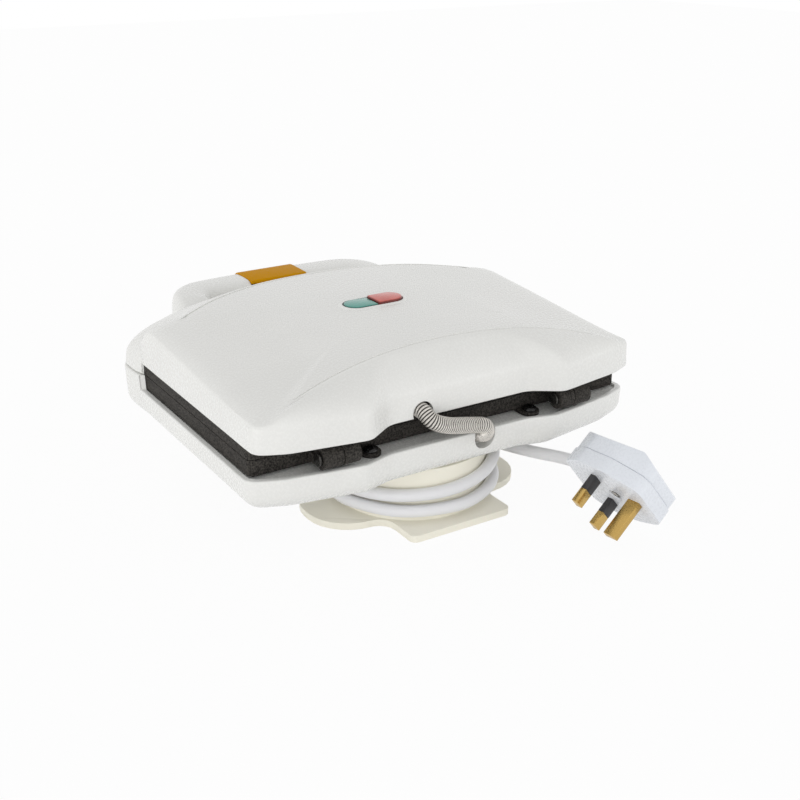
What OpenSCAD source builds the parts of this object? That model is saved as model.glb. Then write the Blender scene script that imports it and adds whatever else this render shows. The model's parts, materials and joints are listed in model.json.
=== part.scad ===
// Sandwich toaster: two white casings hinged at the back, cast plates with four
// triangular pockets, a looped front handle with a clip, and a cord store that
// is also the rear foot. Millimetres. X = 0 is the mirror plane, -Y is the
// handle side, +Y the hinge side, Z = 0 the table.

/* [Casings] */
// How far the casings stand out beside the plates
casing_side = 1.5; // [0.8:0.1:6]
// Height of the crown of the lid above the plates' meeting face
crown_h = 41; // [37:0.5:46]
// Height of the lid's side edges at the hinge end, above the meeting face
side_rear_h = 25; // [22:0.5:28]
// Rise of the lid's side edges from the hinge end to the front
side_rise = 9; // [4:0.5:12]
// Moulded wall of both casings
casing_wall = 2.4; // [1.8:0.1:3]
// Depth of the lower casing below its rim
pan_h = 20; // [17:0.5:24]
// How far the front wall bulges ahead of the plates
nose_reach = 35; // [32:1:40]
// How far the rear lobes of the lid reach behind the plates
lobe_reach = 22.4; // [21:0.2:24]
// Depth of the shallow recess between the two rear lobes of the lid
rear_recess = 10; // [7:0.5:12]
// Running gap between the parts of the two halves
half_gap = 0.4; // [0.3:0.05:0.6]

/* [Plates] */
// Width of the cast cooking plates
plate_w = 236; // [224:1:238]
// Depth of the cast cooking plates
plate_d = 142; // [134:1:146]
// Height of the plates' meeting face above the table
parting_z = 63.4; // [61:0.1:68]
// Visible edge of the upper plate
upper_edge_h = 6.6; // [5:0.1:8]
// Visible edge of the lower plate
lower_edge_h = 8.6; // [7:0.1:10]
// Body of each plate behind its visible edge
plate_body_h = 6; // [5:0.5:8]
// Depth of a sandwich pocket
pocket_depth = 8; // [5:0.5:9]
// Flat border round the pockets
pocket_border = 10; // [7:0.5:12]
// Ridge that cuts and seals the sandwiches
ridge_w = 7; // [5:0.5:10]

/* [Hinges] */
// Distance of the hinge axis behind the plates
hinge_reach = 12; // [11:0.5:14]
// Distance of the hinge axis below the meeting face
hinge_drop = 1.9; // [1:0.1:2.5]
// Distance of each hinge from the mirror plane
hinge_x = 73.6; // [66:0.2:80]
// Outer diameter of the knuckles
knuckle_d = 11.6; // [10:0.1:12]
// Length of the outer knuckles
knuckle_l = 11; // [8:0.2:12]
// Length of the inner knuckles
inner_knuckle_l = 9.4; // [7:0.2:11]
// Gap between two knuckles
knuckle_gap = 0.5; // [0.3:0.05:1]
// Diameter of the hinge pins
pin_d = 4; // [3:0.1:5]
// Radial clearance of a pin in the moving knuckle
pin_clear = 0.05; // [0.02:0.01:0.1]

/* [Handle] */
// Width of the handle loop
handle_w = 160; // [150:1:172]
// Depth of the handle bar from front to back
grip_d = 32; // [28:1:36]
// Height of the upper grip above the meeting face
upper_grip_h = 25.5; // [22:0.5:28]
// Depth of the lower grip below the meeting face
lower_grip_h = 21; // [18:0.5:24]
// Finger space between the grip and the casings
finger_gap = 19.4; // [16:0.2:24]
// Width of the clip
clip_w = 40; // [34:1:46]
// Thickness of the clip
clip_t = 2.4; // [2:0.1:3]
// Reach of the clip's hook under the lower grip
hook_reach = 4; // [3:0.5:5]
// Angle by which the clip stands released at rest
clip_rest = 6.5; // [6:0.5:9]

/* [Cord store] */
// Diameter of the drum that the cord winds on
drum_d = 88; // [80:1:94]
// Thickness of the foot plate
foot_t = 4; // [3:0.5:5]
// Width of the foot plate across its lobes
foot_w = 134; // [120:1:150]
// Depth of the foot plate's lobes
foot_d = 56; // [50:1:64]
// Width of the rear tab
tab_w = 65; // [50:1:72]

/* [Pilot lamps] */
// Length of the two lenses together
lens_l = 37; // [30:0.5:44]
// Width of the lenses
lens_w = 15; // [12:0.5:18]
// Distance of the lenses ahead of the plates' rear face
lens_back = 78.3; // [60:0.5:96]
// Thickness of the lenses below the top of their collar
lens_t = 5.5; // [4:0.5:8]
// Height of the collar round the lenses
collar_h = 0.5; // [0.2:0.1:1.5]
// Width of the collar round the lenses
collar_w = 3.2; // [2:0.2:5]

/* [Cord and plug] */
// Diameter of the supply cord
cord_d = 7; // [6:0.1:8]
// Spacing of the plug's live and neutral pins
pin_pitch = 22.2; // [22:0.1:22.4]

/* [Hidden] */
eps = 0.01;
cut = 1;                                  // overrun of a cutting tool
seat = 0.3;                               // gap between pieces that rest on each other
plate_back = 105;                         // rear face of both plates
plate_front = plate_back - plate_d;
plate_mid = (plate_back + plate_front) / 2;
hinge_y = plate_back + hinge_reach;
hinge_z = parting_z - hinge_drop;
upper_bottom = parting_z + half_gap / 2;  // mating face of the upper half
lower_top = parting_z - half_gap / 2;     // mating face of the lower half
lid_edge = upper_bottom + upper_edge_h;
rim_z = lower_top - lower_edge_h;
pan_bottom = rim_z - pan_h;
crown_z = parting_z + crown_h;
half_w = plate_w / 2 + casing_side;        // half width of the upper casing
nose_y = plate_front - nose_reach;
closed_y = plate_front + 2;               // ahead of this the casings close
lid_lobe = plate_back + lobe_reach;       // rear lobes of the lid
lid_recess_y = lid_lobe - rear_recess;
pan_lobe = lid_lobe - 5;
pan_recess_y = lid_recess_y + 1.4;
deck_drop = 1.6;                          // rear deck of the pan below its rim
deck_gap = 0.8;                           // casing opening round a plate body
body_inset = 4;                           // plate body inside its visible edge
drum_c = [0, plate_back - 38];            // axis of the drum
drum_top = pan_bottom - seat;
fn_round = 64;

// Handle
grip_front = nose_y - finger_gap - grip_d;
grip_back = grip_front + grip_d;
root_y = nose_y + 8;                      // where the loop meets the casings
clip_pivot = [grip_back - 5, parting_z + upper_grip_h - 5];
clip_pin_d = 2.5;
clip_pin_l = clip_w + 8;
clip_ear_x = clip_w / 2 - 5;              // ears that carry the clip on its pin
clip_ear_t = 3;
clip_ear_d = 6;
clip_rise = 0.7;                          // top of the clip above the grip
clip_drop = (clip_pivot[0] - grip_front) * tan(clip_rest);  // tilt of its top when latched
top_gap = 1.2;                            // room under the clip's rear end as it swings

// Openings and screw places of the casings
conduit_d = 9;
conduit_lid = [24, lid_edge + 3.2];       // x and z of the conduit where it enters the lid
conduit_pan = [-15, rim_z - 4.6];         // x and z of the conduit where it enters the pan
conduit_y = lid_recess_y + 2.6;           // about which the conduit bends behind the casings
lid_notch_d = conduit_d + 3.4;
pan_notch_d = conduit_d + 4;
lamp_y = plate_back - lens_back;
screw_d = 4;
ear_x = 51.5;                             // screw ears of both plates
ear_y = plate_back + 4.9;
screw_ring = 30;                          // radius of the drum's screw circle
gland_d = 9.4;
gland_out = 10.2;                         // of the cord's outlet from the drum's side
gland_at = -27.7;                         // its angle about the drum
gland_root = drum_c + (drum_d / 2 + gland_out) * [cos(gland_at), sin(gland_at)];

// ---- outlines ---------------------------------------------------------

function reversed(v) = [for (i = [len(v) - 1:-1:0]) v[i]];
function mirrored(half) = concat(half, [for (p = reversed(half)) if (p[0] > eps) [-p[0], p[1]]]);
function unit(v) = v / norm(v);

// Arc of radius r that rounds the corner b of the path a-b-c, in n steps.
function corner(a, b, c, r, n) =
    let (u = unit(a - b), v = unit(c - b), half = acos(u * v) / 2,
         reach = r / tan(half), m = b + unit(u + v) * r / sin(half),
         p = b + u * reach, q = b + v * reach,
         a0 = atan2(p[1] - m[1], p[0] - m[0]), a1 = atan2(q[1] - m[1], q[0] - m[0]),
         turn = a1 - a0 > 180 ? a1 - a0 - 360 : a1 - a0 < -180 ? a1 - a0 + 360 : a1 - a0)
    [for (i = [0:n]) m + r * [cos(a0 + turn * i / n), sin(a0 + turn * i / n)]];

// Points strictly between a and b, n of them.
function between(a, b, n) = [for (i = [1:n]) a + (b - a) * i / (n + 1)];

recess_half = half_w - 75.5;              // half width of the rear recess
lobe_inner = half_w - 58.5;               // where a rear lobe starts
lobe_outer = half_w - 15.5;               // where it turns to the side
nose_half = half_w + 3.4;                 // half width of both noses

// Plan of a casing: rear recess, rear lobe, straight side, bulging nose.
function casing_half(w, lobe, recess) =
    let (r0 = [0, recess], r1 = [recess_half, recess], r2 = [lobe_inner, lobe + 1.2],
         r3 = [lobe_outer, lobe - 6], r4 = [w, lobe - 13], s1 = [w, closed_y], s2 = [w, closed_y - 0.8],
         n1 = [nose_half, nose_y + 6], n2 = [half_w - 33, nose_y + 2], n3 = [0, nose_y - 3])
    concat(
        [r0], between(r0, r1, 4), corner(r0, r1, r2, 16, 4), corner(r1, r2, r3, 9, 5),
        between(r2, r3, 1), corner(r2, r3, r4, 26, 3), corner(r3, r4, s1, 8, 4),
        between([w, lobe - 22], s1, 6), [s1, s2], between(s2, n1 + [0, 16], 1),
        corner(s2, n1, n2, 13, 5), between(n1 + [-13, -7], n2, 1),
        corner(n1, n2, n3 - [20, 0], 60, 3), between(n2 + [-22, -3], n3, 3), [n3]);
function casing_plan(w, lobe, recess) = mirrored(casing_half(w, lobe, recess));

// Inward offset of a closed ring of plan points by d.
function inset(ring, d) =
    let (n = len(ring))
    [for (i = [0:n - 1])
        let (t = unit(ring[(i + 1) % n] - ring[(i + n - 1) % n])) ring[i] + d * [t[1], -t[0]]];

// Upright slot shape of length l and width w.
module pill(l, w, h) {
    hull() for (s = [-1, 1]) translate([s * (l - w) / 2, 0, 0]) cylinder(d = w, h = h, $fn = 32);
}

function middle(r) = [for (k = [0:2]) [for (p = r) p[k]] * [for (p = r) 1] / len(r)];

// Skin of a stack of rings with equal numbers of points, closed at both ends.
module skin(rings) {
    n = len(rings[0]);
    m = len(rings);
    polyhedron(
        points = concat([for (r = rings) for (p = r) p], [middle(rings[0]), middle(rings[m - 1])]),
        faces = [for (i = [0:n - 1]) let (j = (i + 1) % n) each concat(
            [[j, i, n * m]],
            [for (k = [0:m - 2]) each [[k * n + i, k * n + j, (k + 1) * n + i],
                                       [k * n + j, (k + 1) * n + j, (k + 1) * n + i]]],
            [[(m - 1) * n + i, (m - 1) * n + j, n * m + 1]])],
        convexity = 6);
}

// ---- shape of the lid -------------------------------------------------

lid_plan = casing_plan(half_w, lid_lobe, lid_recess_y);
lid_c = [0, plate_mid - 6];                         // the rings shrink towards this point
crease_half = half_w - 8;                 // side limit of the top panel
rear_arc_r = 424;                         // crease that bounds the panel behind
rear_arc_y = plate_back - 6;
front_arc_r = 170;                        // crease that bounds the panel in front
front_arc_y = nose_y + 17;

side_run = plate_d - 26;                  // length over which the side edges rise
function side_z(y) = parting_z + side_rear_h + side_rise * (plate_back - y) / side_run;
function corner_fall(y) = 0.019 * pow(max(0, plate_front + 23 - y), 2);
function crown(p) =
    let (f = abs(p[0]) / crease_half, fall = crown_z - side_z(p[1]),
         bow = pow((p[1] - plate_mid) / 100, 2))
    crown_z - fall * pow(f, 2.2) - corner_fall(p[1]) * pow(f, 8)
        - (p[1] < plate_mid ? 3.6 - 2 * f * f : 2) * bow;

// Share of the vector d, from c, at which it meets the circle of radius r
// centred on (0, y): side is -1 for the near crossing and 1 for the far one.
function crossing(c, d, y, r, side) =
    let (q = c - [0, y], b = q * d, room = b * b - (q * q - r * r) * (d * d),
         k = room < 0 ? -1 : (side * sqrt(room) - b) / (d * d))
    k > 0 ? k : 9;

// Share of the way from lid_c to the plan point p at which the panel ends.
function panel_share(p) =
    let (d = p - lid_c,
         flank = abs(d[0]) > eps ? crease_half / abs(d[0]) : 9,
         rear = d[1] > 0 ? crossing(lid_c, d, rear_arc_y + rear_arc_r, rear_arc_r, -1) : 9,
         front = d[1] < 0 ? crossing(lid_c, d, front_arc_y + front_arc_r, front_arc_r, 1) : 9)
    min(flank, rear, front, 0.985);

function panel_ring(plan, k, drop) =
    [for (p = plan) let (q = lid_c + (p - lid_c) * panel_share(p) * k) [q[0], q[1], crown(q) - drop]];

function nose_part(p) = max(0, min(1, (closed_y - p[1]) / 12));
function nose_drop(p) = 12 * pow(p[0] / half_w, 2);
function shoulder(p) =
    let (side = p[1] > plate_back ? parting_z + 20 : side_z(p[1]) - corner_fall(p[1]) - 8,
         nose = parting_z + 18 - nose_drop(p), k = nose_part(p))
    side * (1 - k) + nose * k;
function brow(p) =
    let (side = shoulder(p) + 9, nose = parting_z + 31 - nose_drop(p), k = nose_part(p))
    side * (1 - k) + nose * k;

hollow_low = lid_edge + deck_drop + casing_wall + 0.5;  // lower edge of the hollow's ceiling

// Ring t of the rounded shoulder between the wall and the panel.
function shoulder_ring(plan, t, gap) =
    let (low = inset(plan, 0.6 + gap), mid = inset(plan, 1.6 + gap))
    [for (i = [0:len(plan) - 1])
        let (p = plan[i], q = lid_c + (p - lid_c) * panel_share(p),
             a = [low[i][0], low[i][1], max(shoulder(p) - gap, gap > 0 ? hollow_low : upper_bottom)],
             c = [q[0], q[1], crown(q) - gap],
             b = [mid[i][0], mid[i][1], min(brow(p), c[2]) - gap])
        pow(1 - t, 2) * a + 2 * t * (1 - t) * b + t * t * c];

// ---- what both casings share --------------------------------------------

// Where the ray from lid_c through p leaves the rectangle |x| < a, y0 < y < y1.
function to_box(p, a, y0, y1) =
    let (d = p - lid_c,
         kx = abs(d[0]) > eps ? a / abs(d[0]) : 99,
         ky = d[1] > eps ? (y1 - lid_c[1]) / d[1] : d[1] < -eps ? (y0 - lid_c[1]) / d[1] : 99)
    lid_c + d * min(kx, ky);
function in_nose(p) = p[1] < closed_y - 0.4;
function flange_point(p) =
    to_box(p, plate_w / 2 + half_gap, plate_front - half_gap, plate_back + half_gap);
function opening_point(p) =
    to_box(p, plate_w / 2 - body_inset + deck_gap, plate_front + body_inset - deck_gap,
           plate_back - body_inset + deck_gap);

// Rings from the outer rim across the deck and through the plate's opening to
// the inner wall. side is where the casing lies: 1 above, -1 below. start is the
// width of nose behind which its hollow rises above the deck.
function deck_rings(plan, rim, nose, side, start) =
    let (n = len(plan), inner = inset(plan, casing_wall + 0.6),
         flange = [for (p = plan) flange_point(p)],
         open = [for (p = plan) opening_point(p)],
         lip = [for (i = [0:n - 1]) let (v = flange[i] - plan[i])
             plan[i] + v * (in_nose(plan[i]) ? 1 : min(1, rim_band / norm(v)))],
         top = [for (p = plan) in_nose(p) ? nose : rim],
         deck = rim + side * deck_drop, under = deck + side * casing_wall,
         rise = nose + side * casing_wall - under)
    [for (k = [0:7]) [for (i = [0:n - 1])
        let (v = inner[i] - open[i], room = norm(plan[i] - flange[i]), u = (plan[i] - flange[i]) / room,
             roomy = in_nose(plan[i]) && room > nose_solid,
             w = roomy ? max(0, min(1, (room - start) / nose_solid)) : 0,
             q = k == 0 ? plan[i] : k < 3 ? lip[i] : k < 5 ? open[i] : k == 7 ? inner[i]
                 : roomy ? flange[i] + u * (casing_wall + (k - 5) * 0.8) : open[i] + v * (k - 4) * 0.2,
             z = k < 2 ? top[i] : k < 4 ? deck : k < 6 ? under : under + w * rise)
        [q[0], q[1], z]]];
nose_solid = 8;                           // the nose is solid where it is no wider
rim_band = 3.6;                           // flat top of the pan's rim

// Room in a casing for a plate's edge, from z0 to z1, and for its body.
module plate_seat(z0, z1) {
    translate([0, 0, z0]) rounded(plate_w + 2 * seat, plate_front - seat, plate_back + seat, plate_r, z1 - z0);
}
module plate_opening(z, h) {
    translate([0, 0, z]) rounded(body_w + 2 * seat, plate_front + body_inset - seat,
                                 plate_back - body_inset + seat, plate_r, h);
}

// ---- handle loops ---------------------------------------------------------

// Matching points along the outer and the inner edge of the loop.
function loop_half(w, front, back) =
    let (a = [w, root_y], b = [w - loop_taper, front + 4], c = [w - 44, front + 1], d = [0, front],
         ai = [w - 24, root_y], bi = [w - 27, back + 1], ci = [w - 60, back])
    [concat([a], between(a, b, 1), corner(a, b, c, 30, 6), [[w - 56, front + 0.5], d]),
     concat([ai], between(ai, bi, 1), corner(ai, bi, ci, 8, 6), [[w - 56, back], [0, back]])];

loop_taper = 9;                           // narrowing of the loop towards its front
root_dip = 0.2;                           // share of its height that the loop loses at its root
function loop_rise(y) = 1 - root_dip * max(0, min(1, (y - grip_back) / (root_y - grip_back)));

// Loop of the handle from z0 to z1; the far face z1 has round edges.
module loop(z0, z1) {
    half = loop_half(handle_w / 2, grip_front, grip_back);
    outer = mirrored(half[0]);
    inner = mirrored(half[1]);
    profile = [[0, 0], [0, 0.5], [0.03, 0.75], [0.1, 0.92], [0.24, 1], [0.76, 1], [0.9, 0.92],
               [0.97, 0.75], [1, 0.5], [1, 0]];
    rings = [for (i = [0:len(outer) - 1]) [for (q = profile)
        let (p = outer[i] + (inner[i] - outer[i]) * q[0], h = (z1 - z0) * loop_rise(outer[i][1]))
            [p[0], p[1], z0 + h * q[1]]]];
    skin(z1 > z0 ? reversed(rings) : rings);
}

// Seat of the clip in the upper grip, from low at its front up to floor at its rear end.
module clip_seat(low, floor) {
    front = grip_front + clip_t + half_gap;
    rear = [grip_back + cut, floor];
    bend = [front, floor - clip_drop];
    translate([-clip_w / 2 - half_gap, 0, 0]) rotate([90, 0, 90]) linear_extrude(clip_w + 2 * half_gap)
        polygon(concat(
            [[grip_front - cut, low], [grip_front - cut, floor + 10], [rear[0], floor + 10], rear],
            corner(rear, bend, [front, low], 8, 6), [[front, low]]));
}

module clip_bore(d) {
    translate([-clip_pin_l / 2, clip_pivot[0], clip_pivot[1]]) rotate([0, 90, 0])
        cylinder(d = d, h = clip_pin_l, $fn = fn_round);
}

// Raised collar of the lid round the two lenses.
module lamp_collar() {
    low = crown_z - 1.2;
    translate([0, lamp_y, low]) hull() {
        pill(lens_l + 2 * collar_w, lens_w + 2 * collar_w, seat);
        pill(lens_l + collar_w, lens_w + collar_w, crown_z + collar_h - low);
    }
}

module upper_casing() {
    plan = lid_plan;
    deck = deck_rings(plan, lid_edge, upper_bottom, 1, nose_solid);
    rings = concat(
        [for (k = [0.2, 0.45, 0.75]) panel_ring(plan, k, casing_wall)],
        [shoulder_ring(plan, 0.7, casing_wall), shoulder_ring(plan, 0, casing_wall)],
        reversed(deck), [shoulder_ring(plan, 0, 0)],
        [for (t = [0.2:0.2:1]) shoulder_ring(plan, t, 0)],
        [for (k = [0.8:-0.2:0.2]) panel_ring(plan, k, 0)]);
    grip_top = parting_z + upper_grip_h;
    color("whitesmoke") difference() {
        union() {
            skin(rings);
            loop(upper_bottom, grip_top);
            lamp_collar();
        }
        translate([conduit_lid[0], lid_recess_y - 10, conduit_lid[1] - 0.6]) rotate([-90, 0, 0])
            cylinder(d = lid_notch_d, h = 24, $fn = fn_round);
        translate([0, lamp_y, crown_z - 8]) pill(lens_l + 2 * seat, lens_w + 2 * seat, 20);
        for (s = [-1, 1]) translate([s * ear_x, ear_y, lid_edge]) cylinder(d = screw_d, h = 10, $fn = fn_round);
        clip_seat(upper_bottom - cut, grip_top + clip_rise - clip_t - top_gap);
        plate_seat(upper_bottom - cut, lid_edge);
        plate_opening(lid_edge, deck_drop + casing_wall + cut);
        for (s = [-1, 1]) translate([s * clip_ear_x - clip_ear_t / 2 - half_gap, clip_pivot[0] - clip_ear_d,
                                     clip_pivot[1] - clip_ear_d / 2 - half_gap])
            cube([clip_ear_t + 2 * half_gap, 2 * clip_ear_d, grip_top]);
        clip_bore(clip_pin_d);
    }
}

// ---- lower casing ---------------------------------------------------------

pan_plan = casing_plan(half_w + 2, pan_lobe, pan_recess_y);
pan_fillet = 0.86;                        // share of the plan that is flat below
foot_x = 58;
foot_y = plate_front + 12;
foot_pad_h = 3;

function pan_ring(plan, t, gap) =
    let (wall = inset(plan, 0.6 + gap), turn = inset(plan, 2.6 + gap))
    [for (i = [0:len(plan) - 1])
        let (p = lid_c + (plan[i] - lid_c) * pan_fillet,
             a = [wall[i][0], wall[i][1], pan_bottom + pan_h * 0.5],
             b = [turn[i][0], turn[i][1], pan_bottom + 1 + gap],
             c = [p[0], p[1], pan_bottom + gap])
        pow(1 - t, 2) * a + 2 * t * (1 - t) * b + t * t * c];
function floor_ring(plan, k, z) =
    [for (p = plan) let (q = lid_c + (p - lid_c) * pan_fillet * k) [q[0], q[1], z]];

// Opening of the pan's rim and deck round the conduit, open at the top.
module pan_notch() {
    translate([conduit_pan[0], plate_back + half_gap, conduit_pan[1]]) {
        rotate([-90, 0, 0]) cylinder(d = pan_notch_d, h = 30, $fn = fn_round);
        translate([-pan_notch_d / 2, 0, 0]) cube([pan_notch_d, 30, lower_edge_h]);
    }
}

module lower_casing() {
    plan = pan_plan;
    rings = concat(
        [floor_ring(plan, 0.5, pan_bottom)],
        [for (t = [1:-0.2:-0.01]) pan_ring(plan, t, 0)],
        deck_rings(plan, rim_z, lower_top, -1, 2 * nose_solid),
        [for (t = [0, 0.4, 0.7, 1]) pan_ring(plan, t, casing_wall)],
        [floor_ring(plan, 0.5, pan_bottom + casing_wall)]);
    grip_low = parting_z - lower_grip_h;
    color("whitesmoke") difference() {
        union() {
            skin(rings);
            loop(lower_top, grip_low);
            for (s = [-1, 1]) translate([s * foot_x, foot_y, foot_pad_h])
                cylinder(d1 = 18, d2 = 26, h = pan_bottom + casing_wall / 2 - foot_pad_h, $fn = fn_round);
        }
        pan_notch();
        for (s = [-1, 1]) translate([s * ear_x, ear_y, rim_z - 10]) cylinder(d = screw_d, h = 10, $fn = fn_round);
        for (a = [90, 210, 330]) translate([drum_c[0], drum_c[1], 0]) rotate([0, 0, a])
            translate([screw_ring, 0, drum_top]) cylinder(d = screw_d, h = 5, $fn = fn_round);
        translate([gland_root[0], gland_root[1], drum_top]) cylinder(d = gland_d + 2 * seat, h = 5, $fn = fn_round);
        translate([-clip_w / 2 - half_gap, grip_front - cut, grip_low - cut])
            cube([clip_w + 2 * half_gap, cut + clip_t + half_gap, lower_grip_h + cut]);
        plate_seat(rim_z, lower_top + cut);
        plate_opening(rim_z - deck_drop - casing_wall - cut, deck_drop + casing_wall + cut);
    }
}

// ---- plates -----------------------------------------------------------------

plate_r = 3.5;
module rounded(w, y0, y1, r, h) {
    linear_extrude(h) polygon(mirrored(concat(
        [[0, y1]], corner([0, y1], [w / 2, y1], [w / 2, y0], r, 6),
        corner([w / 2, y1], [w / 2, y0], [0, y0], r, 6), [[0, y0]])));
}

// One triangular pocket, its face at z = 0 and its floor below.
module pocket(a, b, c) {
    m = (a + b + c) / 3;
    hull() for (p = [a, b, c]) let (q = p + (m - p) * 0.16, r = p + (m - p) * 0.3) {
        translate([q[0], q[1], 0]) cylinder(r = 6, h = cut, $fn = 24);
        translate([r[0], r[1], -pocket_depth]) cylinder(r = 3, h = 1, $fn = 24);
    }
}
module pockets() {
    x0 = ridge_w / 2;
    x1 = plate_w / 2 - pocket_border;
    y0 = plate_front + pocket_border;
    y1 = plate_back - pocket_border;
    k = ridge_w * 0.7;
    for (s = [-1, 1]) scale([s, 1, 1]) {
        pocket([x0, y0 + k], [x0, y1], [x1 - k, y1]);
        pocket([x0 + k, y0], [x1, y0], [x1, y1 - k]);
    }
}

// Two knuckles of one plate, from x = a to x = b on both sides, with their lugs.
module knuckles(a, b, low, high) {
    for (s = [-1, 1]) {
        x = min(s * a, s * b);
        translate([x, hinge_y, hinge_z]) rotate([0, 90, 0])
            cylinder(d = knuckle_d, h = b - a, $fn = fn_round);
        translate([x, plate_back - 2, low]) cube([b - a, hinge_reach + 2, high - low]);
    }
}
module hinge_bore(d) {
    translate([-half_w, hinge_y, hinge_z]) rotate([0, 90, 0]) cylinder(d = d, h = 2 * half_w, $fn = fn_round);
}

lug_h = 3.8;                              // height of a knuckle's lug
outer_a = hinge_x + knuckle_gap / 2;
outer_b = outer_a + knuckle_l;
inner_b = hinge_x - knuckle_gap / 2;
inner_a = inner_b - inner_knuckle_l;
ear_r = 5.5;
ear_t = 2;
ear_low = rim_z - deck_drop + seat;        // the lower plate's ears lie on the pan's deck
body_w = plate_w - 2 * body_inset;
cavity_h = plate_body_h - 2;              // hollow back of a plate
lower_flange = rim_z + seat;              // underside of the lower plate's visible edge
upper_flange = lid_edge - seat;           // top of the upper plate's visible edge
lower_back = lower_flange - plate_body_h;
upper_back = upper_flange + plate_body_h;
lower_ceiling = lower_back + cavity_h;
upper_floor = upper_back - cavity_h;

// Body of a plate and the hollow in its back, from z up.
module plate_body(inset, z, h) {
    translate([0, 0, z]) rounded(body_w - 2 * inset, plate_front + body_inset + inset,
                                 plate_back - body_inset - inset, plate_r, h);
}
cavity_wall = 4;

module ear(z) {
    for (s = [-1, 1]) translate([s * ear_x, 0, z]) difference() {
        union() {
            translate([0, ear_y, 0]) cylinder(r = ear_r, h = ear_t, $fn = fn_round);
            translate([-ear_r, plate_back - 2, 0]) cube([2 * ear_r, ear_y - plate_back + 2, ear_t]);
        }
        translate([0, ear_y, -cut]) cylinder(d = screw_d, h = ear_t + 2 * cut, $fn = fn_round);
    }
}

module lower_plate() {
    color("dimgray") difference() {
        union() {
            translate([0, 0, lower_flange])
                rounded(plate_w, plate_front, plate_back, plate_r, lower_top - lower_flange);
            plate_body(0, lower_back, plate_body_h + cut);
            knuckles(outer_a, outer_b, hinge_z - knuckle_d / 2 + half_gap, hinge_z);
            ear(ear_low);
        }
        translate([0, 0, lower_top]) pockets();
        plate_body(cavity_wall, lower_back - cut, cavity_h + cut);
        hinge_bore(pin_d);
    }
}

module upper_plate() {
    color("dimgray") difference() {
        union() {
            translate([0, 0, upper_bottom])
                rounded(plate_w, plate_front, plate_back, plate_r, upper_flange - upper_bottom);
            plate_body(0, upper_flange - cut, plate_body_h + cut);
            knuckles(inner_a, inner_b, upper_bottom, upper_bottom + lug_h);
            ear(upper_flange - ear_t);
        }
        translate([0, 0, upper_bottom]) mirror([0, 0, 1]) pockets();
        plate_body(cavity_wall, upper_floor, cavity_h + cut);
        hinge_bore(pin_d + 2 * pin_clear);
    }
}

// ---- fixings and hinge pins -----------------------------------------------

module screw(head_d, head_h, shank_l, d) {
    translate([0, 0, -shank_l]) cylinder(d = d, h = shank_l + head_h / 2, $fn = 32);
    difference() {
        cylinder(d = head_d, h = head_h, $fn = 32);
        for (a = [0, 90]) rotate([0, 0, a]) translate([-head_d * 0.3, -0.5, head_h * 0.55])
            cube([head_d * 0.6, 1, head_h]);
    }
}

plate_screw_l = ear_t + seat + casing_wall;
lid_screw_l = plate_screw_l + deck_drop;

module plate_screws() {
    color("black") for (s = [-1, 1]) translate([s * ear_x, ear_y, ear_low + ear_t])
        screw(8, 2.8, plate_screw_l, screw_d);
}
module lid_screws() {
    color("black") for (s = [-1, 1]) translate([s * ear_x, ear_y, upper_flange - ear_t])
        rotate([180, 0, 0]) screw(8, 2.2, lid_screw_l, screw_d);
}

module hinge_pins() {
    pin_l = outer_b - inner_a;
    color("silver") for (x = [inner_a, -outer_b]) translate([x, hinge_y, hinge_z]) rotate([0, 90, 0]) {
        translate([0, 0, -1]) cylinder(d = pin_d, h = pin_l + 2, $fn = fn_round);
        translate([0, 0, pin_l + 0.3]) cylinder(d = pin_d + 3.5, h = 1.6, $fn = fn_round);
    }
}

// ---- heating ----------------------------------------------------------------

heater_d = 6.4;
heater_r = 22;                            // bend of the tube
tray_t = 1;
tray_h = 8;

// U-shaped tube heater about the middle of a plate, at height z.
module heater(z) {
    x = body_w / 2 - 26;
    leg = plate_d / 2 - 34;
    translate([0, plate_mid, z]) {
        for (s = [-1, 1]) {
            translate([-x, s * leg, 0]) rotate([0, 90, 0])
                cylinder(d = heater_d, h = 2 * x - heater_r, $fn = fn_round);
            translate([-x - 9, s * leg, 0]) rotate([0, 90, 0]) cylinder(d = 2.4, h = 10, $fn = fn_round);
            translate([x - heater_r, s * (leg - heater_r), 0]) rotate([0, 0, s > 0 ? 0 : -90])
                rotate_extrude(angle = 90, $fn = fn_round) translate([heater_r, 0]) circle(d = heater_d, $fn = fn_round);
        }
        translate([x, heater_r - leg, 0]) rotate([-90, 0, 0])
            cylinder(d = heater_d, h = 2 * (leg - heater_r), $fn = fn_round);
    }
}

// Sheet tray that backs a plate: open side at z, floor at z + s * tray_h.
module tray(z, s) {
    w = body_w - 12;
    y0 = plate_front + body_inset + 6;
    y1 = plate_back - body_inset - 6;
    low = min(z, z + s * tray_h);
    difference() {
        translate([0, 0, low]) rounded(w, y0, y1, plate_r, tray_h);
        translate([0, 0, s > 0 ? low - cut : low + tray_t])
            rounded(w - 2 * tray_t, y0 + tray_t, y1 - tray_t, plate_r - tray_t, tray_h - tray_t + cut);
    }
}

lay = heater_d / 2 + 0.1;                 // axis of a heater off the plate's back

module lower_heater() { color("darkgray") heater(lower_ceiling - lay); }
module upper_heater() { color("darkgray") heater(upper_floor + lay); }
module lower_reflector() { color("gainsboro") tray(lower_ceiling, -1); }
module upper_reflector() { color("gainsboro") tray(upper_floor, 1); }

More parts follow.
